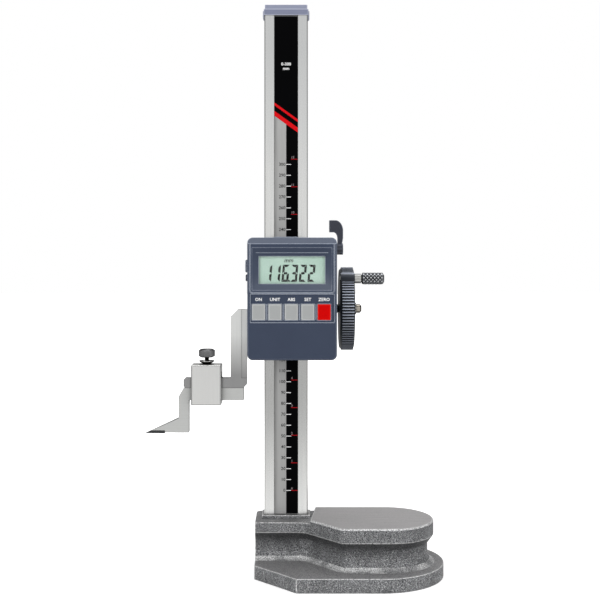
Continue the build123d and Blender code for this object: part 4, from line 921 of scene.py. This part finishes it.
def merged(name: str, parts: Sequence[bpy.types.Mesh]) -> bpy.types.Mesh:
    """Put several meshes into a new one; each is removed."""
    whole = bmesh.new()
    for part in parts:
        whole.from_mesh(part)
        bpy.data.meshes.remove(part)
    made = bpy.data.meshes.new(name)
    whole.to_mesh(made)
    whole.free()
    return made


def printed(name: str, works: Sequence[bmesh.types.BMesh], body: str, ink: Finish) -> None:
    """Add a piece of print made of several small meshes; each is freed.

    Args:
        name: The piece's name.
        works: The small meshes, already in place.
        body: The body that it rides on.
        ink: Its material.
    """
    parts = []
    for work in works:
        part = bpy.data.meshes.new("part")
        work.to_mesh(part)
        work.free()
        parts.append(part)
    piece(name, merged(name, parts), body, ink)


def lettering(
    words: str,
    height: float,
    at: Point,
    front_y: float,
    side: Side = Side.CENTRE,
    slant: float = 0.0,
) -> bmesh.types.BMesh:
    """Make raised print that faces the user.

    Args:
        words: What it says.
        height: Height of a capital in millimetres.
        at: X and Z of the line's anchor, at the middle of its height, in metres.
        front_y: Where its front lies.
        side: Which end of the line the anchor is.
        slant: Lean of the letters.

    Returns:
        The letters as closed thin slabs.
    """
    curve = bpy.data.curves.new("line", "FONT")
    curve.body = words
    curve.size = height * MM / CAPITAL
    curve.align_x = side.value
    curve.align_y = "CENTER"
    curve.shear = slant
    curve.extrude = INK / 2
    curve.offset = STROKE_SWELL * height * MM
    curve.resolution_u = 2
    holder = add_object("line", curve)
    ready = holder.evaluated_get(bpy.context.evaluated_depsgraph_get())
    flat = bpy.data.meshes.new_from_object(ready)
    turned = Matrix.Translation((at[0], front_y + INK / 2, at[1])) @ Matrix.Rotation(math.pi / 2, 4, "X")
    flat.transform(turned)
    work = bmesh.new()
    work.from_mesh(flat)
    bmesh.ops.remove_doubles(work, verts=work.verts, dist=0.001 * MM)
    bpy.data.objects.remove(holder)
    bpy.data.curves.remove(curve)
    bpy.data.meshes.remove(flat)
    return work


def turned_shape(profile: Sequence[Point], centre: Vector, steps: int) -> bmesh.types.BMesh:
    """Turn a profile round an axis along X and close its ends.

    Args:
        profile: X and radius of each point, in metres.
        centre: A point on the axis.
        steps: Faces round the axis.

    Returns:
        The closed shape.
    """
    work = bmesh.new()
    rings = []
    for along, radius in profile:
        ring = []
        for i in range(steps):
            turn = 2 * math.pi * i / steps
            side, rise = radius * math.cos(turn), radius * math.sin(turn)
            ring.append(work.verts.new((along, centre.y + side, centre.z + rise)))
        rings.append(ring)
    for low, high in zip(rings, rings[1:]):
        for i in range(steps):
            after = (i + 1) % steps
            work.faces.new((low[i], low[after], high[after], high[i]))
    work.faces.new(rings[0])
    work.faces.new(rings[-1])
    bmesh.ops.remove_doubles(work, verts=work.verts, dist=0.001 * MM)
    bmesh.ops.recalc_face_normals(work, faces=work.faces)
    return work


# Geometry Nodes


def new_tree(name: str, sockets: dict[str, str]) -> tuple[Tree, Sockets, bpy.types.Node]:
    """Start a Geometry Nodes tree.

    Args:
        name: The tree's name.
        sockets: Type of each named input.

    Returns:
        The tree, the sockets of its input node by name, and its output node.
    """
    tree = bpy.data.node_groups.new(name, "GeometryNodeTree")
    for label, kind in sockets.items():
        tree.interface.new_socket(label, in_out="INPUT", socket_type="NodeSocket" + kind)
    tree.interface.new_socket("Geometry", in_out="OUTPUT", socket_type="NodeSocketGeometry")
    given = {socket.name: socket for socket in add_node(tree, "NodeGroupInput").outputs}
    return tree, given, add_node(tree, "NodeGroupOutput")


def finish_tree(tree: Tree, given: Sockets, result: bpy.types.Node, instances: Socket) -> Tree:
    """End a tree in Realize Instances and Set Material."""
    real = add_node(tree, "GeometryNodeRealizeInstances", {0: instances})
    inking = {"Geometry": real.outputs[0], "Material": given["Finish"]}
    inked = add_node(tree, "GeometryNodeSetMaterial", inking)
    tree.links.new(inked.outputs[0], result.inputs[0])
    return tree


def grown(name: str, tree: Tree, values: dict[str, Any]) -> bpy.types.Mesh:
    """Run a Geometry Nodes tree and keep its result as a plain mesh.

    Args:
        name: The mesh's name.
        tree: The tree to run.
        values: A value for each named input.

    Returns:
        The mesh.
    """
    seed = bpy.data.meshes.new(name + "_seed")
    carrier = add_object(name + "_seed", seed)
    growth = carrier.modifiers.new("growth", "NODES")
    growth.node_group = tree
    for label, value in values.items():
        growth[tree.interface.items_tree[label].identifier] = value
    depsgraph = bpy.context.evaluated_depsgraph_get()
    made = bpy.data.meshes.new_from_object(carrier.evaluated_get(depsgraph), depsgraph=depsgraph)
    made.name = name
    bpy.data.objects.remove(carrier)
    bpy.data.meshes.remove(seed)
    return made


def marks_tree() -> Tree:
    """Build the tree that lays a column of equal marks, each a thin bar."""
    tree, given, result = new_tree(
        "graduation_marks",
        {"Marks": "Int", "First": "Vector", "Step": "Vector", "Bar": "Vector", "Finish": "Material"},
    )
    row = {"Count": given["Marks"], "Start Location": given["First"], "Offset": given["Step"]}
    line = add_node(tree, "GeometryNodeMeshLine", row, mode="OFFSET")
    bar = add_node(tree, "GeometryNodeMeshCube", {"Size": given["Bar"]})
    placing = {"Points": line.outputs[0], "Instance": bar.outputs[0]}
    laid = add_node(tree, "GeometryNodeInstanceOnPoints", placing)
    return finish_tree(tree, given, result, laid.outputs[0])


def knurl_tree() -> Tree:
    """Build the tree that cuts diamond teeth round an axis along X, each row shifted by half a tooth."""
    tree, given, result = new_tree(
        "diamond_knurl",
        {
            "Rows": "Int",
            "Teeth": "Int",
            "Start": "Vector",
            "Length": "Float",
            "Radius": "Float",
            "Width": "Float",
            "Height": "Float",
            "Finish": "Material",
        },
    )

    def maths(operation: str, first: Any, second: Any = 0.0) -> Socket:
        """Work out one number."""
        return add_node(tree, "ShaderNodeMath", {0: first, 1: second}, operation=operation).outputs[0]

    count = maths("MULTIPLY", given["Rows"], given["Teeth"])
    points = add_node(tree, "GeometryNodePoints", {"Count": count})
    index = add_node(tree, "GeometryNodeInputIndex").outputs[0]
    row = maths("FLOOR", maths("DIVIDE", index, given["Teeth"]))
    tooth = maths("FLOORED_MODULO", index, given["Teeth"])
    shift = maths("MULTIPLY", maths("FLOORED_MODULO", row, 2.0), 0.5)
    turn = maths("DIVIDE", maths("MULTIPLY", maths("ADD", tooth, shift), math.tau), given["Teeth"])
    pitch = maths("DIVIDE", given["Length"], given["Rows"])
    along = maths("MULTIPLY", maths("ADD", row, 0.5), pitch)
    side = maths("MULTIPLY", maths("SINE", turn), given["Radius"])
    rise = maths("MULTIPLY", maths("COSINE", turn), given["Radius"])
    offset = add_node(tree, "ShaderNodeCombineXYZ", {"X": along, "Y": side, "Z": rise}).outputs[0]
    place = add_node(tree, "ShaderNodeVectorMath", {0: given["Start"], 1: offset}, operation="ADD")
    placing = {"Geometry": points.outputs[0], "Position": place.outputs[0]}
    placed = add_node(tree, "GeometryNodeSetPosition", placing)
    facing = add_node(tree, "ShaderNodeCombineXYZ", {"X": maths("MULTIPLY", turn, -1.0)})
    cone = add_node(
        tree,
        "GeometryNodeMeshCone",
        {
            "Vertices": 4,
            "Radius Top": maths("MULTIPLY", given["Width"], 0.5),
            "Radius Bottom": given["Width"],
            "Depth": given["Height"],
        },
    )
    cut = add_node(
        tree,
        "GeometryNodeInstanceOnPoints",
        {"Points": placed.outputs[0], "Instance": cone.outputs[0], "Rotation": facing.outputs[0]},
    )
    return finish_tree(tree, given, result, cut.outputs[0])


@dataclass
class CastFoot:
    """The cast foot that stands on the plate, and the two bolts up into the column."""

    edge: float = 0.9
    milled_share: Sequence[Point] = ((50.5, 1.0), (47.0, 0.3), (12.5, 0.42), (0.0, 1.0))
    rough_share: float = 0.15
    level_slack: float = 0.6
    fillet_heights: Point = (12.6, 16.0)
    flat_from: float = 0.98
    lean_from: float = 0.1
    glint_gain: float = 2.2

    def share_at(self, face: bpy.types.MeshPolygon) -> float:
        """Say how smooth a face is from its height, where it lies flat."""
        if abs(face.normal.z) < self.flat_from:
            return 0.0
        level = face.center.z / MM
        shares = [share for z, share in self.milled_share if abs(z - level) < self.level_slack]
        return max(shares, default=self.rough_share)

    def glint_at(self, face: bpy.types.MeshPolygon) -> float:
        """Say how strong a face's painted glint is: full where the fillet leans back over the flange."""
        low, high = self.fillet_heights
        inside = low < face.center.z / MM < high and self.lean_from < face.normal.z < self.flat_from
        return min(1.0, self.glint_gain * face.normal.z) if inside else 0.0

    def build(self) -> None:
        """Dress the casting and its bolts."""
        mesh = soft_edged(merged_copy("base_casting"), "base_casting_finished", self.edge, segments=3)
        number_layer(mesh, "machined", self.share_at)
        # Painted glints in the fillet over the flange
        number_layer(mesh, "glint", self.glint_at)
        piece("base_casting_finished", mesh, "stand", CAST, ("base_casting",))
        dress("column_bolts", OXIDE)


@dataclass
class GraduatedColumn:
    """The ground column with its rack, strip, film and print."""

    edge: float = 0.35
    zero_z: float = 72.2
    range_mm: int = 300
    step_mm: int = 10
    inch: float = 25.4
    inch_marks: int = 13
    split_x: float = 0.1
    mark_length: float = 4.4
    inch_mark: Point = (4.6, 10.7)
    mark_height: float = 0.55
    number_height: float = 2.8
    inch_number_height: float = 2.1
    inch_number_lift: float = 0.8
    number_gap: float = 0.7
    stripe_left_z: float = 417.0
    stripe_right_z: float = 401.5
    stripes: Sequence[Point] = ((0.0, 4.5), (9.6, 12.2))
    range_text_z: float = 464.4
    unit_text_z: float = 460.4
    range_text_height: float = 2.7

    def build(self) -> None:
        """Dress the column and print its scale."""
        softened("column", COLUMN, width=self.edge)
        softened("column_cap", CAP, width=0.7, segments=3)
        dress("rack", BAR_STEEL)
        dress("rack_screws", OXIDE)
        dress("scale_strip", STRIP)
        dress("scale_film", FILM)
        self.marks()
        self.numbers()
        self.stripe_pair()

    @property
    def front(self) -> float:
        """Give where the print's front lies, on the film."""
        return front_of("scale_film") - INK

    def marks(self) -> None:
        """Lay the millimetre and inch marks with one tree."""
        tree = marks_tree()
        mm_mark = (self.split_x, self.split_x + self.mark_length)
        mm_marks = self.range_mm // self.step_mm + 1
        bars = {
            "scale_marks_mm": (*mm_mark, self.step_mm, mm_marks, WHITE_INK),
            "scale_marks_inch": (*self.inch_mark, self.inch, self.inch_marks, DARK_RED_INK),
        }
        for name, (left, right, step, count, ink) in bars.items():
            values = {
                "Marks": count,
                "First": ((left + right) / 2 * MM, self.front + INK / 2, self.zero_z * MM),
                "Step": (0.0, 0.0, step * MM),
                "Bar": ((right - left) * MM, INK, self.mark_height * MM),
                "Finish": ink.material(),
            }
            piece(name, grown(name, tree, values), "stand", ink)

    def numbers(self) -> None:
        """Print a number at each mark and the range at the top."""
        metric = [
            lettering(
                str(value),
                self.number_height,
                ((self.split_x - self.number_gap) * MM, (self.zero_z + value) * MM),
                front_of("scale_strip") - INK,
                Side.RIGHT,
            )
            for value in range(0, self.range_mm + 1, self.step_mm)
        ]
        printed("scale_numbers_mm", metric, "stand", BLACK_INK)
        lift = self.zero_z + self.inch_number_lift * self.inch_number_height
        inches = [
            lettering(
                str(value),
                self.inch_number_height,
                (self.inch_mark[0] * MM, (lift + value * self.inch) * MM),
                self.front,
                Side.LEFT,
            )
            for value in range(self.inch_marks)
        ]
        printed("scale_numbers_inch", inches, "stand", GREY_INK)
        heading = [
            lettering(words, self.range_text_height, (0.0, z * MM), self.front)
            for words, z in ((f"0-{self.range_mm}", self.range_text_z), ("mm", self.unit_text_z))
        ]
        printed("scale_heading", heading, "stand", WHITE_INK)

    def stripe_pair(self) -> None:
        """Print the two slanting red stripes over the start of the graduations."""
        low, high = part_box("scale_film")
        bands = []
        for bottom, top in self.stripes:
            outline = [
                (low.x, (self.stripe_left_z + bottom) * MM),
                (high.x, (self.stripe_right_z + bottom) * MM),
                (high.x, (self.stripe_right_z + top) * MM),
                (low.x, (self.stripe_left_z + top) * MM),
            ]
            bands.append(front_slab(outline, self.front))
        printed("scale_stripes", bands, "stand", RED_INK)


@dataclass
class Slider:
    """The steel sleeve with its arm, the gear case behind it, the lock lever and what they hold."""

    edge: float = 0.5

    def build(self) -> None:
        """Dress the sleeve and the pieces in it."""
        softened("slider_frame", FRAME_STEEL, width=self.edge, segments=3)
        softened("gear_case", LEVER, width=self.edge, segments=2)
        softened("clamp_lever", LEVER, width=0.55, segments=3)
        dress("clamp_screw", OXIDE)
        for node in ("gib_screws", "gear_case_screws", "housing_screws"):
            dress(node, OXIDE)
        for node in ("gib_strip", "clamp_shoe", "bush_left", "bush_right"):
            dress(node, BRONZE)


@dataclass
class Handwheel:
    """The fluted wheel on the pinion's shaft, with its crank and knurled grip."""

    wheel_edge: float = 0.3
    grip_edge: float = 0.15
    ridge_depth: float = 0.35
    boss_reach: float = 5.3
    boss_top: float = 0.82
    boss_shine: float = 0.06
    crown_top: float = 0.9
    level_shine: float = 0.75
    least_shine: float = 0.25
    tooth_pitch: float = 3.2
    tooth_height: float = 0.7
    tooth_width: float = 0.56
    tooth_root: float = 0.05
    tooth_lift: float = 0.04
    top_share: float = 0.8
    bevel: float = 1.5
    end_bevel: float = 0.8
    bore: float = 2.7
    head_depth: float = 2.4
    head_share: float = 0.71
    steps: int = 48

    def build(self) -> None:
        """Dress the wheel, its shaft and its crank."""
        self.wheel()
        dress("wheel_shaft", OXIDE)
        dress("pinion", BAR_STEEL)
        softened("wheel_washer", PLATED, width=0.2)
        softened("wheel_nut", NUT, width=0.2)
        softened("crank_pin", PLATED, width=0.2)
        self.grip()

    def wheel(self) -> None:
        """Dress the wheel, with a painted highlight on the tops of its ridges and on its crank boss."""
        low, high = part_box("handwheel")
        centre = (low + high) / 2
        reach = (high.z - low.z) / 2 - self.ridge_depth * MM
        pin_low, pin_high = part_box("crank_pin")
        crank = (pin_low + pin_high) / 2

        def polish_at(face: bpy.types.MeshPolygon) -> float:
            """Say how much painted highlight a face takes: the ridges' tops, more above than below, and the
            boss's top.
            """
            if abs(face.normal.x) > 0.5:
                return 0.0
            if off_axis(face, crank) < self.boss_reach * MM:
                return 1.0 if face.normal.z > self.boss_top else self.boss_shine
            if off_axis(face, centre) < reach or face.normal.z > self.crown_top:
                return 0.0
            return min(1.0, max(self.least_shine, self.level_shine + face.normal.z))

        work = merged_copy("handwheel")
        mesh = soft_edged(work, "handwheel_finished", self.wheel_edge, segments=1, angle=35.0)
        number_layer(mesh, "painted_highlight", polish_at)
        piece("handwheel_finished", mesh, "wheel", WHEEL, ("handwheel",))

    def grip(self) -> None:
        """Make the grip: a bored sleeve with bevelled ends and diamond teeth cut round it."""
        low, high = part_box("crank_grip")
        centre = (low + high) / 2
        radius = (high.z - low.z) / 2
        core = radius - self.tooth_height * MM
        bevel, bore = self.bevel * MM, self.bore * MM
        pin_low, pin_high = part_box("crank_pin")
        head = (pin_high.z - pin_low.z) / 2 * self.head_share
        head_floor = high.x - self.head_depth * MM
        profile = [
            (low.x, bore),
            (low.x, core - bevel),
            (low.x + bevel, core),
            (high.x - bevel, core),
            (high.x, core - bevel * self.end_bevel),
            (high.x, head),
            (head_floor, head),
            (head_floor, bore),
        ]
        body = turned_shape(profile, centre, self.steps)
        sleeve = soft_edged(body, "grip_sleeve", self.grip_edge)
        length = high.x - low.x - 2 * bevel
        teeth = round(math.tau * core / (self.tooth_pitch * MM))
        rows = round(2 * length / (self.tooth_pitch * MM))
        knurl = grown(
            "grip_knurl",
            knurl_tree(),
            {
                "Rows": rows,
                "Teeth": teeth,
                "Start": (low.x + bevel, centre.y, centre.z),
                "Length": length,
                "Radius": core - self.tooth_root * MM,
                "Width": self.tooth_width * self.tooth_pitch * MM,
                "Height": (self.tooth_height + self.tooth_lift) * MM,
                "Finish": KNURLED.material(),
            },
        )
        mesh = merged("crank_grip_knurled", (sleeve, knurl))
        tops = core + self.top_share * self.tooth_height * MM

        def polish_at(face: bpy.types.MeshPolygon) -> float:
            """Say whether a face is the top of a tooth, which takes a painted highlight."""
            return float(off_axis(face, centre) > tops)

        # Painted highlight on the teeth's tops
        number_layer(mesh, "painted_highlight", polish_at)
        piece("crank_grip_knurled", mesh, "grip", KNURLED, ("crank_grip",))


@dataclass
class Readout:
    """The moulded housing with its window, digits, keys, drawer and data port."""

    edge: float = 0.45
    key_edge: float = 0.5
    reading: str = "116.322"
    digits: Point = (-19.4, 264.9)
    digit_size: Point = (6.2, 15.4)
    digit_pitch: float = 7.75
    stroke: float = 2.1
    segment_gap: float = 0.16
    tip_share: float = 0.55
    lean: float = 0.085
    point_sides: Point = (-1.55, -0.2)
    point_height: float = 1.5
    unit_at: Point = (2.6, 284.1)
    unit_height: float = 3.7
    unit_slant: float = 0.2
    field_depth: float = 0.6
    legends: Sequence[str] = ("ON", "UNIT", "ABS", "SET", "ZERO")
    legend_height: float = 2.75
    legend_rise: float = 3.5

    def build(self) -> None:
        """Dress the housing and everything on it."""
        softened("housing_front", CASE, width=self.edge, segments=3, angle=18.0)
        softened("housing_rear", CASE, width=0.5, segments=2)
        softened("battery_drawer", CASE, width=0.4, segments=2)
        softened("port_cover", RUBBER, width=0.4, segments=2)
        dress("display_window", WINDOW)
        dress("display_panel", LCD)
        dress("main_board", BOARD)
        dress("sensor_board", BOARD)
        dress("key_mat", RUBBER)
        dress("port_socket", PLATED)
        dress("battery_cell", PLATED)
        self.keys()
        self.digit_row()

    def keys(self) -> None:
        """Dress the keys and print a legend over each."""
        words = []
        field_floor = front_of("housing_front") + self.field_depth * MM
        for number, legend in enumerate(self.legends, start=1):
            node = f"key_{number}"
            finish = KEY_RED if number == len(self.legends) else KEY_GREY
            softened(node, finish, width=self.key_edge, segments=3)
            low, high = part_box(node)
            at = ((low.x + high.x) / 2, high.z + self.legend_rise * MM)
            words.append(lettering(legend, self.legend_height, at, field_floor - INK))
        printed("key_legends", words, "slider", WHITE_INK)

    def segment_outlines(self) -> dict[str, list[Point]]:
        """Give the outline of each of a digit's seven segments, in a cell with its corner at zero."""
        width, height = self.digit_size
        half, bar, gap = height / 2, self.stroke, self.segment_gap
        top = [(gap, height), (width - gap, height), (width - bar, height - bar), (bar, height - bar)]
        bottom = [(x, height - z) for x, z in top]
        tip = bar * self.tip_share
        centre = [
            (tip, half),
            (bar, half + bar / 2),
            (width - bar, half + bar / 2),
            (width - tip, half),
            (width - bar, half - bar / 2),
            (bar, half - bar / 2),
        ]
        upper_left = [
            (0, height - gap),
            (bar, height - bar - gap),
            (bar, half + bar / 2 + gap),
            (0, half + gap),
        ]
        lower_left = [(x, height - z) for x, z in upper_left]
        upper_right = [(width - x, z) for x, z in upper_left]
        lower_right = [(width - x, z) for x, z in lower_left]
        return {
            "a": top,
            "b": upper_right,
            "c": lower_right,
            "d": bottom,
            "e": lower_left,
            "f": upper_left,
            "g": centre,
        }

    def digit_row(self) -> None:
        """Lay the dark segments of the reading and its unit on the panel."""
        lit = {"1": "bc", "2": "abged", "3": "abgcd", "6": "afgedc"}
        outlines = self.segment_outlines()
        front = front_of("display_panel") - INK
        slabs, cell = [], 0
        for mark in self.reading:
            left = self.digits[0] + cell * self.digit_pitch
            if mark == ".":
                start, end = self.point_sides
                point = [(start, 0), (end, 0), (end, self.point_height), (start, self.point_height)]
                slabs.append(self.slab_on_panel(point, left, front))
                continue
            for segment in lit[mark]:
                slabs.append(self.slab_on_panel(outlines[segment], left, front))
            cell += 1
        at = (self.unit_at[0] * MM, self.unit_at[1] * MM)
        slabs.append(lettering("mm", self.unit_height, at, front, Side.CENTRE, self.unit_slant))
        printed("display_reading", slabs, "slider", SEGMENT)

    def slab_on_panel(self, outline: Sequence[Point], left: float, front: float) -> bmesh.types.BMesh:
        """Lean an outline and set it on the panel."""
        base = self.digits[1]
        leaned = [((left + x + z * self.lean) * MM, (base + z) * MM) for x, z in outline]
        return front_slab(leaned, front)


@dataclass
class ScriberSet:
    """The clamp box on the bar, its thumb screw, and the scriber with its carbide tip."""

    edge: float = 0.45

    def build(self) -> None:
        """Dress the clamp, screw, washer and scriber."""
        softened("scriber_clamp", BOX_STEEL, width=self.edge, segments=3)
        softened("scriber", BAR_STEEL, width=0.3, segments=2, angle=12.0)
        softened("carbide_tip", CARBIDE, width=0.12, segments=2, angle=12.0)
        softened("thumb_screw", KNOB, width=0.15, segments=1)
        softened("thumb_washer", PLATED, width=0.15, segments=2)
        dress("clamp_pad", BRONZE)


@dataclass
class Studio:
    """A pale floor, soft lamps and the photograph's camera."""

    camera_at: Triple = (12.8, -1009.0, 295.0)
    focal_px: float = 1087.0
    frame_px: float = 600.0
    centre_py: float = 248.3
    sensor: float = 36.0
    sky: float = 0.45
    side_shine: float = 0.3
    front_shine: float = 0.95
    floor_lift: float = 0.5
    near_shine: float = 1.05
    far_shine: float = 0.45

    def build(self) -> None:
        """Set up the stage."""
        self.floor()
        self.world()
        self.lamps()
        self.camera()
        bpy.context.scene.view_settings.view_transform = "Standard"

    def floor(self) -> None:
        """Lay a pale floor that shows white to the camera and keeps the shadow."""
        reach = 6.0
        mesh = bpy.data.meshes.new("floor")
        corners = [(-reach, -reach, 0.0), (reach, -reach, 0.0), (reach, reach, 0.0), (-reach, reach, 0.0)]
        mesh.from_pydata(corners, [], [(0, 1, 2, 3)])
        ground = add_object("floor", mesh)
        made = bpy.data.materials.new("floor_matt_white")
        made.use_nodes = True
        tree = made.node_tree
        surface = tree.nodes["Principled BSDF"]
        surface.inputs["Base Color"].default_value = srgb("#f4f4f4")
        surface.inputs["Roughness"].default_value = 0.9
        surface.inputs["Emission Color"].default_value = (1.0, 1.0, 1.0, 1.0)
        path = add_node(tree, "ShaderNodeLightPath")
        seen = larger(tree, path.outputs["Is Camera Ray"], path.outputs["Is Transmission Ray"])
        away = add_node(tree, "ShaderNodeTexCoord").outputs["Object"]
        far = add_node(tree, "ShaderNodeVectorMath", {0: away}, operation="LENGTH").outputs["Value"]
        lift = scaled(tree, seen, spread(tree, far, 0.2, 0.7, self.floor_lift, 1.0))
        tree.links.new(lift, surface.inputs["Emission Strength"])
        mirrored = spread(tree, far, 0.25, 1.0, self.near_shine, self.far_shine)
        card = add_node(tree, "ShaderNodeEmission", {"Color": srgb("#ffffff"), "Strength": mirrored})
        mixed = {0: path.outputs["Is Glossy Ray"], 1: surface.outputs[0], 2: card.outputs[0]}
        both = add_node(tree, "ShaderNodeMixShader", mixed)
        tree.links.new(both.outputs[0], tree.nodes["Material Output"].inputs["Surface"])
        mesh.materials.append(made)

    def world(self) -> None:
        """Light from a soft grey sky that shows white to the camera, and to metal."""
        world = bpy.data.worlds.new("studio")
        bpy.context.scene.world = world
        world.use_nodes = True
        tree = world.node_tree
        tree.nodes.clear()
        path = add_node(tree, "ShaderNodeLightPath")
        seen_way = add_node(tree, "ShaderNodeTexCoord").outputs["Generated"]
        way = add_node(tree, "ShaderNodeSeparateXYZ", {0: seen_way})
        soft = add_node(tree, "ShaderNodeBackground", {"Color": srgb("#ffffff"), "Strength": self.sky})
        front = spread(tree, way.outputs["Y"], 0.1, -0.85, self.side_shine, self.front_shine)
        shine = larger(tree, front, spread(tree, way.outputs["Z"], 0.25, 0.8, 0.0, self.front_shine))
        mirrored = add_node(tree, "ShaderNodeBackground", {"Color": srgb("#ffffff"), "Strength": shine})
        white = add_node(tree, "ShaderNodeBackground", {"Color": srgb("#ffffff"), "Strength": 1.0})
        lit = {0: path.outputs["Is Glossy Ray"], 1: soft.outputs[0], 2: mirrored.outputs[0]}
        first = add_node(tree, "ShaderNodeMixShader", lit)
        clear = larger(tree, path.outputs["Is Camera Ray"], path.outputs["Is Transmission Ray"])
        last = add_node(tree, "ShaderNodeMixShader", {0: clear, 1: first.outputs[0], 2: white.outputs[0]})
        add_node(tree, "ShaderNodeOutputWorld", {"Surface": last.outputs[0]})

    def lamps(self) -> None:
        """Hang three soft lamps: over the left, low on the right and from above."""
        target = Vector((0.0, 0.0, 0.25))
        for name, place, size, power in (
            ("key", (-0.9, -1.3, 1.1), 0.9, 13.0),
            ("fill", (1.2, -1.0, 0.5), 0.9, 5.5),
            ("top", (0.2, 0.3, 1.6), 0.8, 8.0),
        ):
            light = bpy.data.lights.new(name, "AREA")
            light.size = size
            light.energy = power
            lamp = add_object(name, light)
            lamp.location = place
            lamp.rotation_euler = (target - Vector(place)).to_track_quat("-Z", "Y").to_euler()

    def camera(self) -> None:
        """Place the level camera of the photograph."""
        data = bpy.data.cameras.new("camera")
        data.sensor_width = self.sensor
        data.lens = self.focal_px / self.frame_px * self.sensor
        data.shift_y = (self.centre_py - self.frame_px / 2) / self.frame_px
        seat = add_object("camera", data)
        seat.location = Vector(self.camera_at) * MM
        seat.rotation_euler = (math.pi / 2, 0.0, 0.0)
        bpy.context.scene.camera = seat


def main() -> None:
    """Build the studio and every sub-assembly in order."""
    logging.basicConfig(level=logging.INFO, format="%(name)s: %(message)s")
    for assembly in (Studio(), CastFoot(), GraduatedColumn(), Slider(), Handwheel(), Readout(), ScriberSet()):
        LOG.info("building %s", type(assembly).__name__)
        assembly.build()
    bpy.context.view_layer.update()


if __name__ == "__main__":
    main()
